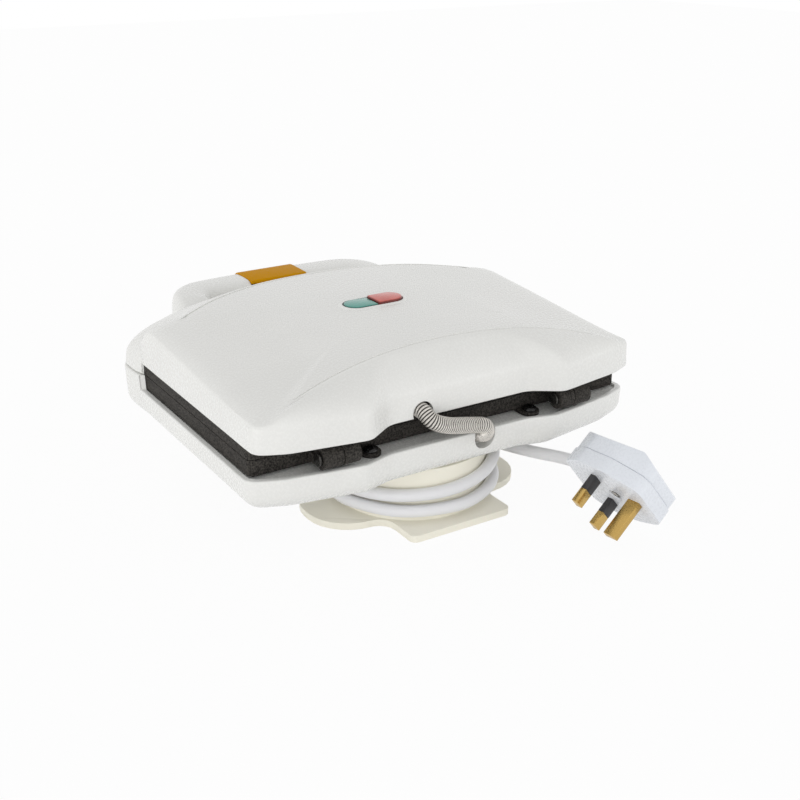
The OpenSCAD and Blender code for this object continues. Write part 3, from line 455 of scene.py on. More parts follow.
NEON = finish_of("neon", (0.65, 0.20, 0.06), (0.75, 0.28, 0.08), (0.1, 0.2), 900, 0.003)
DARK_STEEL = finish_of("dark_steel", (0.05, 0.048, 0.045), (0.08, 0.076, 0.07), (0.2, 0.35), 900, 0.01,
                       metal=0.8)
# The first colour is painted shade for the grooves, and the second is the crests' colour.
RIBBED = ribbed_finish("ribbed_sleeve", (0.03, 0.027, 0.024), (0.74, 0.71, 0.66))
HEATER = finish_of("heater_sheath", (0.16, 0.15, 0.14), (0.24, 0.22, 0.20), (0.35, 0.5), 900, 0.01,
                   metal=1.0)
# For each lens, the first colour is painted shade down the sides and the second the painted lit top.
GREEN = lens_finish("green_lens", (0.006, 0.04, 0.032), (0.085, 0.36, 0.30), box_mm("green_lens")[1].z)
RED = lens_finish("red_lens", (0.10, 0.006, 0.005), (0.68, 0.15, 0.125), box_mm("red_lens")[1].z)

# ---- plan and crown of the casings ----------------------------------------------
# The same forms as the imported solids, sampled more finely.

# Corners of the plan: how far in from the lid's half width they lie, or for NOSE_OUT out from it,
# how far behind the lobe's back or the nose's front, and the radii that round them.
RECESS_IN, LOBE_IN, LOBE_OUT, NOSE_IN, NOSE_OUT = 75.5, 58.5, 15.5, 33, 3.4
LOBE_IN_Y, LOBE_OUT_Y, SIDE_Y = 1.2, -6, -13
NOSE_OUT_Y, NOSE_IN_Y, NOSE_MID_Y = 6, 2, -3
RECESS_R, LOBE_IN_R, LOBE_OUT_R, SIDE_R, NOSE_SIDE_R, NOSE_R = 16, 9, 26, 8, 13, 60


def casing_half(w, lobe, recess):
    """Half of a casing's plan, from its recess round the lobe and the side to its nose."""
    r0, r1 = Vector((0, recess)), Vector((HALF_W - RECESS_IN, recess))
    r2 = Vector((HALF_W - LOBE_IN, lobe + LOBE_IN_Y))
    r3, r4 = Vector((HALF_W - LOBE_OUT, lobe + LOBE_OUT_Y)), Vector((w, lobe + SIDE_Y))
    s1, s2 = Vector((w, CLOSED_Y)), Vector((w, CLOSED_Y - PLAN_BREAK))
    n1 = Vector((HALF_W + NOSE_OUT, NOSE_Y + NOSE_OUT_Y))
    n2, n3 = Vector((HALF_W - NOSE_IN, NOSE_Y + NOSE_IN_Y)), Vector((0, NOSE_Y + NOSE_MID_Y))
    rear = [r0] + between(r0, r1, 4) + corner(r0, r1, r2, RECESS_R, 4)
    rear += corner(r1, r2, r3, LOBE_IN_R, 5) + between(r2, r3, 1)
    rear += corner(r2, r3, r4, LOBE_OUT_R, 3) + corner(r3, r4, s1, SIDE_R, 4)
    side = between(Vector((w, lobe - 22)), s1, 6) + [s1]
    nose = [s2] + between(s2, n1 + Vector((0, 16)), 1) + corner(s2, n1, n2, NOSE_SIDE_R, 5)
    nose += between(n1 + Vector((-13, -7)), n2, 1) + corner(n1, n2, n3 - Vector((20, 0)), NOSE_R, 3)
    nose += between(n2 + Vector((-22, -3)), n3, 3) + [n3]
    return spline(rear + side, 3) + spline(nose, 3)


# The lid's raised panel ends at its sides and at two creases, which are arcs in plan.
CREASE_HALF = HALF_W - 8
REAR_ARC_R, REAR_ARC_Y = 424, PLATE_BACK - 6
FRONT_ARC_R, FRONT_ARC_Y = 170, NOSE_Y + 17
PANEL_MOST = 0.985  # the panel reaches no larger share of the way to the lid's edge
CREASE_STEP, CREASE_FADE = 0.75, 0.1  # height, and the share of the way over which it fades out

# Heights of the panel: its sides climb forwards, its front corners fall, and it bows down before
# and behind its middle.
SIDE_RISE, SIDE_CLIMB, SIDE_RUN, SIDE_POWER = 25, 9, 116, 2.2
CORNER_FALL, CORNER_FROM, CORNER_POWER = 0.019, PLATE_FRONT + 23, 8
BOW_FRONT, BOW_SIDE, BOW_REAR, BOW_RUN = 3.6, 2, 2, 100

# Heights about the parting at which the walls end and the slopes aim.
LOBE_SHOULDER, NOSE_SHOULDER, NOSE_BROW, BROW_RISE = 20, 18, 31, 9
SIDE_SHOULDER = 8  # below the panel's side
NOSE_DROP, NOSE_BLEND = 12, 12
SLOPE_LEAN = 1.6  # how far in the slopes aim
HOLLOW_LOW = LID_EDGE + DECK_DROP + WALL + 0.5  # the lid's hollow starts just above its deck
SOFTEN_TIMES = 15  # at the middle of the slope, and less towards its ends
SOFTEN_FROM, SOFTEN_FADE = 20, 20  # behind the plates' middle
ROUND_TIMES = 90
ROUND_FROM, ROUND_RINGS, ROUND_FADE = 4, 24, 4  # first ring, and numbers of rings


def side_z(y):
    """Height of the panel's side."""
    return PARTING + SIDE_RISE + SIDE_CLIMB * (PLATE_BACK - y) / SIDE_RUN


def corner_fall(y):
    """How far the panel's front corners fall below its side."""
    return CORNER_FALL * max(0, CORNER_FROM - y) ** 2


def crown(p):
    """Height of the panel over a plan point."""
    f = abs(p.x) / CREASE_HALF
    bow = BOW_FRONT - BOW_SIDE * f * f if p.y < PLATE_MID else BOW_REAR
    bow = ((p.y - PLATE_MID) / BOW_RUN) ** 2 * bow
    side = (CROWN_Z - side_z(p.y)) * f ** SIDE_POWER
    return CROWN_Z - side - corner_fall(p.y) * f ** CORNER_POWER - bow


def crossing(c, d, y, r, side):
    """Share of d, from c, at which it meets the circle of radius r about (0, y)."""
    q = c - Vector((0, y))
    b = q.dot(d)
    room = b * b - (q.dot(q) - r * r) * d.dot(d)
    k = -1 if room < 0 else (side * math.sqrt(room) - b) / d.dot(d)
    return k if k > 0 else MISSED


def panel_limits(p):
    """Shares of the way from the lid's centre to a plan point where the side and the creases lie."""
    d = p - LID_CENTRE
    flank = CREASE_HALF / abs(d.x) if abs(d.x) > TINY else MISSED
    rear = crossing(LID_CENTRE, d, REAR_ARC_Y + REAR_ARC_R, REAR_ARC_R, -1) if d.y > 0 else MISSED
    front = crossing(LID_CENTRE, d, FRONT_ARC_Y + FRONT_ARC_R, FRONT_ARC_R, 1) if d.y < 0 else MISSED
    return min(flank, PANEL_MOST), min(rear, front)


def on_panel(p, share=1):
    """The point at a share of the way from the lid's centre to the panel's edge towards p."""
    return LID_CENTRE + (p - LID_CENTRE) * (min(panel_limits(p)) * share)


def crease_step(p):
    """Height of the small step along the two creases, fading out towards the sides."""
    side, crease = panel_limits(p)
    t = clamp((side - crease) / CREASE_FADE)
    return CREASE_STEP * t * t * (3 - 2 * t)


def nose_drop(p):
    """How far the nose falls towards its sides."""
    return NOSE_DROP * (p.x / HALF_W) ** 2


def mix_at_nose(p, side, nose):
    """The side's value, which turns into the nose's in front of CLOSED_Y."""
    k = clamp((CLOSED_Y - p.y) / NOSE_BLEND)
    return side * (1 - k) + nose * k


def shoulder(p):
    """Height at which the lid's wall ends and the slope up to the panel starts."""
    below = side_z(p.y) - corner_fall(p.y) - SIDE_SHOULDER
    side = PARTING + LOBE_SHOULDER if p.y > PLATE_BACK else below
    return mix_at_nose(p, side, PARTING + NOSE_SHOULDER - nose_drop(p))


def brow(p):
    """Height that the slope aims for as it leaves the shoulder."""
    return mix_at_nose(p, shoulder(p) + BROW_RISE, PARTING + NOSE_BROW - nose_drop(p))


def bend(a, b, c, t):
    """Point at t on the curve from a to c that aims for b."""
    return a * (1 - t) ** 2 + b * (2 * t * (1 - t)) + c * t ** 2


def shoulder_ring(plan, t, gap):
    """Ring at t on the slope, outside at a gap of 0, or else inside the wall."""
    low, mid = inset(plan, WALL_LEAN + gap), inset(plan, SLOPE_LEAN + gap)
    ring = []
    for i, p in enumerate(plan):
        q = on_panel(p)
        a = Vector((*low[i], max(shoulder(p) - gap, HOLLOW_LOW if gap else UPPER_BOTTOM)))
        c = Vector((*q, crown(q) - gap - (0 if gap else crease_step(p))))
        b = Vector((*mid[i], min(brow(p), c.z) - gap))
        ring.append(bend(a, b, c, t))
    return ring if gap else softened(ring, round(4 * SOFTEN_TIMES * t * (1 - t)))


def rounded_over(plan, rings):
    """Rounds the panel over into the sides and corners, wherever the creases have faded out."""
    weight = [1 - crease_step(p) / CREASE_STEP if p.y > CLOSED_Y else 0 for p in plan]
    last = min(ROUND_FROM + ROUND_RINGS, len(rings) - 1)
    for _ in range(ROUND_TIMES):
        done = [ring[:] for ring in rings]
        for k in range(ROUND_FROM, last):
            fade = min(1, (k - ROUND_FROM + 1) / ROUND_FADE)
            for i, w in enumerate(weight):
                if w > 0:
                    even = (rings[k - 1][i] + rings[k + 1][i]) / 2
                    done[k][i] = rings[k][i].lerp(even, 0.5 * w * fade)
        rings = done
    return rings


def softened(ring, times):
    """Evens out the folds that run up the rear slope from the lobes below it."""
    n = len(ring)
    weight = [clamp((p.y - PLATE_MID - SOFTEN_FROM) / SOFTEN_FADE) for p in ring]
    for _ in range(times):
        ring = [p.lerp((ring[i - 1] + ring[(i + 1) % n]) / 2, 0.5 * weight[i])
                for i, p in enumerate(ring)]
    return ring


# Section across a crease: way in from its foot, in millimetres, and depth as a share of its step.
REAR_SECTION = ((0.3, 0.93), (0.9, 0.5), (1.5, 0.32), (2.0, 0.32), (2.3, 1.05), (3.0, 1.05),
                (3.4, 0.12), (3.8, 0))
FRONT_SECTION = ((0.4, 0.8), (1.2, 0.3), (2.2, 0.05), (3.2, 0), (3.5, 1.2), (4.3, 1.2),
                 (4.7, 0.12), (5.1, 0))
SECTION_BLEND = 60  # length over which one section turns into the other


def crease_ring(plan, step):
    """Ring along the creases: a soft step, then a fine groove at the edge of the top panel."""
    ring = []
    for p in plan:
        q = on_panel(p)
        k = clamp((LID_CENTRE.y - p.y + SECTION_BLEND / 2) / SECTION_BLEND)
        way, depth = (a * (1 - k) + b * k for a, b in zip(REAR_SECTION[step], FRONT_SECTION[step]))
        q += (LID_CENTRE - q).normalized() * way
        ring.append(Vector((*q, crown(q) - crease_step(p) * depth)))
    return ring


def panel_ring(plan, share, drop):
    return [Vector((*q, crown(q) - drop)) for q in (on_panel(p, share) for p in plan)]


# ---- what both casings share --------------------------------------------------

RIM_BAND, RIM_EASE = 3.6, 0.9  # width of the flat rim, and rounding of its outer edge
NOSE_SOLID = 8  # thickness of the nose where it is solid
BODY_INSET, DECK_GAP = 4, 0.8  # a plate's sunk body is smaller than its flange, and clear of the deck
WALL_SLANT = 0.8  # of the wall between a plate and the nose's hollow


def to_box(p, a, y0, y1):
    """Where the ray from the lid's centre through p leaves a rectangle."""
    d = p - LID_CENTRE
    across = a / abs(d.x) if abs(d.x) > TINY else MISSED
    along = ((y1 if d.y > 0 else y0) - LID_CENTRE.y) / d.y if abs(d.y) > TINY else MISSED
    return LID_CENTRE + d * min(across, along)


def deck_rings(plan, rim, nose, side, start):
    """Rings from the outer rim, its edge eased, across the deck to the inner wall.

    side is 1 in the lid and -1 in the pan, and start is how far in the nose's hollow begins.
    """
    inner = inset(plan, WALL + WALL_LEAN)
    a, y0, y1 = PLATE_HALF, PLATE_FRONT, PLATE_BACK
    shift = BODY_INSET - DECK_GAP
    flange = [to_box(p, a + HALF_GAP, y0 - HALF_GAP, y1 + HALF_GAP) for p in plan]
    hole = [to_box(p, a - shift, y0 + shift, y1 - shift) for p in plan]
    deck = rim + side * DECK_DROP
    under = deck + side * WALL
    turns = [math.radians(t) for t in (30, 60, 90)]
    turned_in = [inset(plan, RIM_EASE * (1 - math.cos(t))) for t in turns]
    rings = [[] for _ in range(11)]
    for i, p in enumerate(plan):
        closed = p.y < CLOSED_Y - PLAN_BREAK / 2
        v = flange[i] - p
        lip = p + v * (1 if closed else min(1, RIM_BAND / v.length))
        top = nose if closed else rim
        roomy = closed and v.length > NOSE_SOLID
        hollow = clamp((v.length - start) / NOSE_SOLID) if roomy else 0
        rise = hollow * (nose + side * WALL - under)
        rings[0].append(Vector((*p, top + side * RIM_EASE)))
        for k, t in enumerate(turns):
            rings[k + 1].append(Vector((*turned_in[k][i], top + side * RIM_EASE * (1 - math.sin(t)))))
        rings[4].append(Vector((*lip, top)))
        rings[5].append(Vector((*lip, deck)))
        rings[6].append(Vector((*hole[i], deck)))
        rings[7].append(Vector((*hole[i], under)))
        for k in (1, 2):
            if roomy:
                q = flange[i] - v.normalized() * (WALL + (k - 1) * WALL_SLANT)
            else:
                q = hole[i] + (inner[i] - hole[i]) * (0.2 * k)
            rings[7 + k].append(Vector((*q, under + (rise if k == 2 else 0))))
        rings[10].append(Vector((*inner[i], under + rise)))
    return rings


ROOT_W, LOOP_OUT_R, LOOP_IN_R = 24, 30, 8


def loop_half(w, front, back):
    """Outer and inner plan of half of the handle's loop, from its root to its middle."""
    a, b = Vector((w, ROOT_Y)), Vector((w - 9, front + 4))
    c, d = Vector((w - 44, front + 1)), Vector((0, front))
    ai, bi, ci = Vector((w - ROOT_W, ROOT_Y)), Vector((w - 27, back + 1)), Vector((w - 60, back))
    outer = [a] + between(a, b, 1) + corner(a, b, c, LOOP_OUT_R, 6)
    outer += [Vector((w - 56, front + 0.5)), d]
    inner = [ai] + between(ai, bi, 1) + corner(ai, bi, ci, LOOP_IN_R, 6)
    inner += [Vector((w - 56, back)), Vector((0, back))]
    return spline(outer, 4), spline(inner, 4)


GRIP_STEPS, GRIP_POWER, GRIP_FOOT = 16, 4.6, 0.04  # the grips' section, a superellipse on a foot
ROOT_FALL = 0.2  # share of their height that the grips lose towards their roots


def handle_loop(name, z0, z1):
    """Half of the looped handle, from its flat face at z0 to its rounded face at z1."""
    outer, inner = (mirrored(half) for half in loop_half(HANDLE_HALF, GRIP_FRONT, GRIP_BACK))
    profile = [(0.0, 0.0)]
    for k in range(GRIP_STEPS + 1):
        angle = math.pi * k / GRIP_STEPS
        across = -math.copysign(abs(math.cos(angle)) ** (2 / GRIP_POWER), math.cos(angle))
        high = GRIP_FOOT + (1 - GRIP_FOOT) * math.sin(angle) ** (2 / GRIP_POWER)
        profile.append((0.5 + across / 2, high))
    profile.append((1.0, 0.0))
    rings = []
    for p, q in zip(outer, inner):
        rise = 1 - ROOT_FALL * clamp((p.y - GRIP_BACK) / (ROOT_Y - GRIP_BACK))
        rings.append([Vector((*p.lerp(q, u), z0 + (z1 - z0) * rise * h)) for u, h in profile])
    return skin(name, rings)


def along_x(outline, x0, x1, y, z):
    """Cutter: an outline in the Y-Z plane about (y, z), from x0 to x1."""
    at = Matrix(((0, 0, 1, 0), (1, 0, 0, y), (0, 1, 0, z), (0, 0, 0, 1)))
    return prism("bore", outline, x0, x1, at)


def along_y(outline, y0, y1, x, z):
    """Cutter: an outline in the X-Z plane about (x, z), from y0 to y1."""
    at = Matrix(((1, 0, 0, x), (0, 0, -1, 0), (0, 1, 0, z), (0, 0, 0, 1)))
    return prism("bore", outline, -y1, -y0, at)


CLIP_BEND_R, SEAT_HIGH = 8, 10


def clip_seat(low, floor):
    """Cutter for the clip's seat in the upper grip."""
    front = GRIP_FRONT + CLIP_T + HALF_GAP
    a, b, c = Vector((GRIP_BACK + 1, floor)), Vector((front, floor - CLIP_DROP)), Vector((front, low))
    high = floor + SEAT_HIGH
    side = [(GRIP_FRONT - 1, low), (GRIP_FRONT - 1, high), (GRIP_BACK + 1, high), a[:]]
    side += [p[:] for p in corner(a, b, c, CLIP_BEND_R, 10)] + [(front, low)]
    half = CLIP_W / 2 + HALF_GAP
    return along_x(side, -half, half, 0, 0)


SEAT_GAP, SEAT_CORNER = 0.3, 3.5


def seat_room(z0, z1):
    """Cutter for a plate's visible edge in a casing, with rounded corners."""
    a, rear, front = PLATE_HALF + SEAT_GAP, PLATE_BACK + SEAT_GAP, PLATE_FRONT - SEAT_GAP
    corners = [Vector(p) for p in ((a, rear), (a, front), (-a, front), (-a, rear))]
    outline = []
    for i in range(4):
        outline += corner(corners[i - 1], corners[i], corners[(i + 1) % 4], SEAT_CORNER, 6)
    return prism("seat_room", [p[:] for p in outline], z0, z1)


# ---- the lid's casing ---------------------------------------------------------

CONDUIT_LID = Vector((24, LID_EDGE + 3.2))  # x and z where the conduit enters each casing
CONDUIT_PAN = Vector((-15, RIM_Z - 4.6))
CONDUIT_R = 4.5
CONDUIT_Y = LID_RECESS + 2.6
LID_HOLE_R, LID_HOLE_DROP = CONDUIT_R + 1.7, 0.6  # the lid's hole sits a little low on the conduit
LENS_L, LENS_W, LENS_GAP = 37, 15, 1.3
EAR_SLOT_X, EAR_SLOT_HALF = CLIP_W / 2 - 5, 1.9  # slots in the grip for the clip's ears
EAR_SLOT_REACH, EAR_SLOT_DEPTH = 6, 3.4  # fore and aft, and down, from the clip's pin
PIN_BORE_R, PIN_BORE_HALF = 1.25, (CLIP_W + 8) / 2
SLOPE_RINGS = 12
PANEL_SHARES = [k / 32 for k in (30, 28)] + [k / 16 for k in range(13, 0, -1)]


def at_lamps(outline):
    return [(x, y + LAMP_Y) for x, y in outline]


def lamp_collar():
    """Soft raised collar round the two lenses: offsets from them and heights about the crown."""
    profile = [(3.2, -1.2), (3.2, -0.9), (2.9, -0.4), (2.5, 0.0), (2.1, 0.28), (1.7, 0.44), (1.2, 0.5)]
    rings = []
    for wide, high in profile:
        outline = at_lamps(pill(LENS_L + 2 * wide, LENS_W + 2 * wide))
        rings.append([Vector((x, y, CROWN_Z + high)) for x, y in outline])
    return skin("collar", rings)


def lid_shell():
    """The upper casing: its hollow, its deck, then its outside up to the panel."""
    plan = mirrored(casing_half(HALF_W, LID_LOBE, LID_RECESS))
    rings = [panel_ring(plan, share, WALL) for share in (0.2, 0.45, 0.75)]
    rings += [shoulder_ring(plan, t, WALL) for t in (0.7, 0)]
    rings += reversed(deck_rings(plan, LID_EDGE, UPPER_BOTTOM, 1, NOSE_SOLID))
    top = [shoulder_ring(plan, t / SLOPE_RINGS, 0) for t in range(SLOPE_RINGS + 1)]
    top += [crease_ring(plan, step) for step in range(len(REAR_SECTION))]
    top += [panel_ring(plan, share, 0) for share in PANEL_SHARES]
    rings += rounded_over(plan, top)
    lid = skin("lid_shell", rings, "lid")
    combine(lid, [handle_loop("upper_loop", UPPER_BOTTOM, GRIP_TOP), lamp_collar()], "UNION")
    lamps = at_lamps(pill(LENS_L + LENS_GAP, LENS_W + LENS_GAP))
    cuts = [
        along_y(disc(LID_HOLE_R), LID_LOBE - 20, LID_LOBE + 4, CONDUIT_LID.x,
                CONDUIT_LID.y - LID_HOLE_DROP),
        prism("lamps", lamps, CROWN_Z - 8, CROWN_Z + 9),
        clip_seat(UPPER_BOTTOM - 1, GRIP_TOP + CLIP_RISE - CLIP_T - 1.2),
        seat_room(UPPER_BOTTOM - 1, LID_EDGE),
    ]
    for x in (-EAR_SLOT_X, EAR_SLOT_X):
        slot = rectangle(x - EAR_SLOT_HALF, x + EAR_SLOT_HALF, CLIP_Y - EAR_SLOT_REACH,
                         CLIP_Y + EAR_SLOT_REACH)
        cuts.append(prism("ear", slot, CLIP_Z - EAR_SLOT_DEPTH, GRIP_TOP + 9))
    cuts.append(along_x(disc(PIN_BORE_R, 24), -PIN_BORE_HALF, PIN_BORE_HALF, CLIP_Y, CLIP_Z))
    combine(lid, cuts, "DIFFERENCE")
    shade(lid)
    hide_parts("upper_casing")
    return dress(lid, WHITE)


# ---- the pan ------------------------------------------------------------------

PAN_HALF_W, PAN_LOBE, PAN_RECESS = HALF_W + 2, LID_LOBE - 5, LID_RECESS + 1.4
PAN_FLAT = 0.86  # share of the plan that is flat below
PAN_TURN, PAN_TURN_IN = 10, 2.6  # the turn to the flat: how high it starts, and how far in it aims
DRUM_R, DRUM_Y = 44, PLATE_BACK - 38
GLAND_ANGLE, GLAND_OUT = math.radians(-27.7), DRUM_R + 10.2
GLAND_ROOT = (GLAND_OUT * math.cos(GLAND_ANGLE), DRUM_Y + GLAND_OUT * math.sin(GLAND_ANGLE))
GLAND_R = 5
FOOT_X, FOOT_Y, FOOT_PAD = 58, PLATE_FRONT + 12, 3
LEG_LOW_R, LEG_HIGH_R = 9, 13
LINER_R, LINER_FROM, LINER_TO = CONDUIT_R + 3.6, PLATE_BACK + 1.2, PLATE_BACK + 12.6
NOTCH_R, NOTCH_TOP = CONDUIT_R + 2, 8.6


def floor_ring(plan, share, z):
    return [Vector((*(LID_CENTRE + (p - LID_CENTRE) * (PAN_FLAT * share)), z)) for p in plan]


def pan_ring(plan, t, gap):
    """Ring at t on the turn from the pan's wall to its flat underside, a gap inside them."""
    wall, turn = inset(plan, WALL_LEAN + gap), inset(plan, PAN_TURN_IN + gap)
    flat = floor_ring(plan, 1, PAN_BOTTOM + gap)
    return [bend(Vector((*a, PAN_BOTTOM + PAN_TURN)), Vector((*b, PAN_BOTTOM + 1 + gap)), c, t)
            for a, b, c in zip(wall, turn, flat)]


def leg(x):
    """Leg above a front foot pad, which widens into the pan's floor."""
    ends = ((FOOT_PAD, LEG_LOW_R), (PAN_BOTTOM + WALL / 2, LEG_HIGH_R))
    return skin("leg", [[Vector((*p, z)) for p in disc(r, 40, x, FOOT_Y)] for z, r in ends])


def pan_shell():
    """The lower casing: its outside up from the underside, its deck, then its hollow."""
    plan = mirrored(casing_half(PAN_HALF_W, PAN_LOBE, PAN_RECESS))
    rings = [floor_ring(plan, 0.5, PAN_BOTTOM)]
    rings += [pan_ring(plan, t / 10, 0) for t in range(10, -1, -1)]
    rings += deck_rings(plan, RIM_Z, LOWER_TOP, -1, 2 * NOSE_SOLID)
    rings += [pan_ring(plan, t, WALL) for t in (0, 0.4, 0.7, 1)]
    rings += [floor_ring(plan, 0.5, PAN_BOTTOM + WALL)]
    pan = skin("pan_shell", rings, "base")
    loop = handle_loop("lower_loop", LOWER_TOP, GRIP_LOW)
    liner = along_y(disc(LINER_R), LINER_FROM, LINER_TO, *CONDUIT_PAN)
    combine(pan, [loop, liner, leg(-FOOT_X), leg(FOOT_X)], "UNION")
    notch_from, notch_to = PLATE_BACK + HALF_GAP, PLATE_BACK + 30
    half = CLIP_W / 2 + HALF_GAP
    groove = rectangle(-half, half, GRIP_FRONT - 1, GRIP_FRONT + CLIP_T + HALF_GAP)
    cuts = [
        along_y(disc(NOTCH_R), notch_from, notch_to, *CONDUIT_PAN),
        along_y(rectangle(-NOTCH_R, NOTCH_R, 0, NOTCH_TOP), notch_from, notch_to, *CONDUIT_PAN),
        prism("groove", groove, GRIP_LOW - 1, LOWER_TOP + 0.5),
        prism("gland", disc(GLAND_R, 32, *GLAND_ROOT), PAN_BOTTOM - 1, PAN_BOTTOM + 5),
        seat_room(RIM_Z, LOWER_TOP + 1),
    ]
    combine(pan, cuts, "DIFFERENCE")
    shade(pan)
    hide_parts("lower_casing")
    return dress(pan, WHITE)


# ---- the cord and the conduit ---------------------------------------------------

CORD_D = 7
# Turns on the drum: degrees gone round it, clockwise from above, radius and height.
WINDING = [
    (0, 48.6, 30.1), (40, 47.9, 30.1), (90, 47.8, 30), (130, 47.8, 29.2), (170, 47.8, 26.2),
    (216, 47.8, 22.8), (260, 47.8, 20.8), (306, 47.8, 19.6), (350, 47.8, 18.8), (396, 47.8, 17.6),
    (440, 47.8, 16), (486, 47.8, 14.2), (530, 47.8, 12.6), (576, 47.8, 11.6), (650, 47.8, 11.5),
    (690, 49.4, 11.5), (715, 52.6, 12.4), (740, 55, 14.6), (765, 55.4, 17.4), (800, 53.8, 20.4),
    (842.7, 51.6, 22)]
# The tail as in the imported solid, from the winding to the plug.
TAIL = [
    (-52.1, 70, 22.4), (-52.9, 77, 22.9), (-54, 84, 23.4), (-55.3, 90, 23.9), (-57.2, 96.5, 24.4),
    (-59.6, 102.9, 24.8), (-62.3, 109.2, 25.2), (-65.1, 115.2, 25.6), (-67.6, 120.9, 25.9),
    (-69.5, 126.2, 26.1), (-70.9, 131.6, 26.3), (-71.7, 137, 26.6), (-72, 142, 26.9),
    (-72, 146.6, 27.1)]
CORD_START = 306  # where the turns start, in degrees round the drum


def round_drum(degrees, r, z):
    a = math.radians(CORD_START - degrees)
    return Vector((r * math.cos(a), DRUM_Y + r * math.sin(a), z))


def mains_cord():
    """The cord's free turns and its tail, in place of the CAD's ring and tube."""
    route = [round_drum(*p) for p in spline([Vector(p) for p in WINDING], 2)]
    route += [Vector(p) for p in TAIL]
    curve = bpy.data.curves.new("mains_cord", "CURVE")
    curve.dimensions = "3D"
    curve.bevel_depth = 1  # each point's radius scales it, and the object's box counts that radius
    curve.bevel_resolution = 5
    curve.use_fill_caps = True
    line = curve.splines.new("BEZIER")
    line.bezier_points.add(len(route) - 1)
    line.resolution_u = 6
    for i, point in enumerate(line.bezier_points):
        before, here, after = route[max(i - 1, 0)], route[i], route[min(i + 1, len(route) - 1)]
        along = (after - before).normalized() / 3
        point.handle_left_type = point.handle_right_type = "FREE"
        point.co = here * MM
        point.radius = CORD_D / 2 * MM
        point.handle_left = (here - along * (here - before).length) * MM
        point.handle_right = (here + along * (after - here).length) * MM
    cord = bpy.data.objects.new("mains_cord", curve)
    bpy.context.scene.collection.objects.link(cord)
    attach(cord, "base")
    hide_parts("cord_winding", "cord_tail")
    return dress(cord, CORD)


# The conduit past the hinge: x, then y and z about CONDUIT_Y and the hinge's height.
CONDUIT_WAY = ((21, 2, 7.5), (12, 3, 3.5), (-2, 3, 0.5), (-11, 3, -2), (-15, -1, -8.5))


def conduit_line(steps):
    """The conduit's line between the halves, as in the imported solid."""
    p = [Vector((CONDUIT_LID.x, CONDUIT_Y + d, CONDUIT_LID.y)) for d in (-11, -3)]
    p += [Vector((x, CONDUIT_Y + y, HINGE_Z + z)) for x, y, z in CONDUIT_WAY]
    p += [Vector((CONDUIT_PAN.x, CONDUIT_Y + d, CONDUIT_PAN.y)) for d in (-8, -14)]
    last = len(p) - 1
    out = []
    for i in range(last):
        a, b, c, d = p[max(i - 1, 0)], p[i], p[i + 1], p[min(i + 2, last)]
        for k in range(steps):
            t = k / steps
            out.append(0.5 * (2 * b + t * (c - a) + t * t * (2 * a - 5 * b + 4 * c - d)
                              + t ** 3 * (3 * b - a - 3 * c + d)))
    return out + [p[last]]


LINE_STEPS = 60
RIB_PITCH, RIB_STEPS, RIB_AROUND, RIB_DEPTH = 1.2, 6, 28, 0.7
RIB_POWER = 0.7  # under 1, so that grooves are narrower than crests
SLEEVE_IN = 0.05  # the sleeve lies this much inside the CAD's tube


def ribbed_conduit():
    """Corrugated sleeve along the conduit's line, one rib every RIB_PITCH millimetres."""
    line = conduit_line(LINE_STEPS)
    gone = [0.0]
    for a, b in zip(line, line[1:]):
        gone.append(gone[-1] + (b - a).length)
    count = int(gone[-1] / RIB_PITCH * RIB_STEPS)
    rings, ribs, k = [], [], 0
    side = Vector((0, 0, 1))
    for i in range(count + 1):
        at = gone[-1] * i / count
        while k < len(gone) - 2 and gone[k + 1] < at:
            k += 1
        share = (at - gone[k]) / (gone[k + 1] - gone[k])
        centre = line[k].lerp(line[k + 1], share)
        along = (line[min(k + 2, len(line) - 1)] - line[max(k - 1, 0)]).normalized()
        side = (side - along * side.dot(along)).normalized()
        other = along.cross(side)
        wave = 0.5 + 0.5 * math.cos(2 * math.pi * i / RIB_STEPS)
        r = CONDUIT_R - SLEEVE_IN - RIB_DEPTH * (1 - wave ** RIB_POWER)
        ribs += [wave] * RIB_AROUND
        angles = (2 * math.pi * j / RIB_AROUND for j in range(RIB_AROUND))
        rings.append([centre + (side * math.cos(a) + other * math.sin(a)) * r for a in angles])
    sleeve = skin("wire_sleeve", rings)
    # rib is 1 on the crests and 0 in the grooves, where the sleeve's material paints shade.
    rib = sleeve.data.attributes.new("rib", "FLOAT", "POINT")
    for i, item in enumerate(rib.data):
        item.value = ribs[i] if i < len(ribs) else 1
    shade(sleeve, 80)
    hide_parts("wire_conduit")
    dress(sleeve, RIBBED)
    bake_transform(sleeve)
    return sleeve


# ---- screws --------------------------------------------------------------------

SHANK_R = 1.5
CROSS_WIDE, CROSS_LONG = 0.5, 2.1  # half width and half length of a cross recess's bars
CROSS_FROM = 0.42  # height of its floor, as a share of the head's


def domed_screw(name, at, head_r, head_h, shank):
    """Screw with a domed head and a cross recess, about the Z axis of the matrix at.

    The head's rim and dome are shares of its radius and height.
    """
    profile = [(0.02, -shank), (SHANK_R, -shank), (SHANK_R, 0), (head_r * 0.93, 0),
               (head_r, head_h * 0.16)]
    for t in (0, 20, 40, 55, 70, 80, 87):
        a = math.radians(t)
        profile.append((head_r * 0.985 * math.cos(a), head_h * (0.26 + 0.74 * math.sin(a))))
    screw = skin(name, [[at @ Vector((*p, z)) for p in disc(r, 40)] for r, z in profile])
    cross = []
    for x, y in ((CROSS_WIDE, CROSS_LONG), (CROSS_LONG, CROSS_WIDE)):
        cross.append(prism("cross", rectangle(-x, x, -y, y), head_h * CROSS_FROM, head_h + 1, at))
    combine(screw, cross, "DIFFERENCE")
    return screw


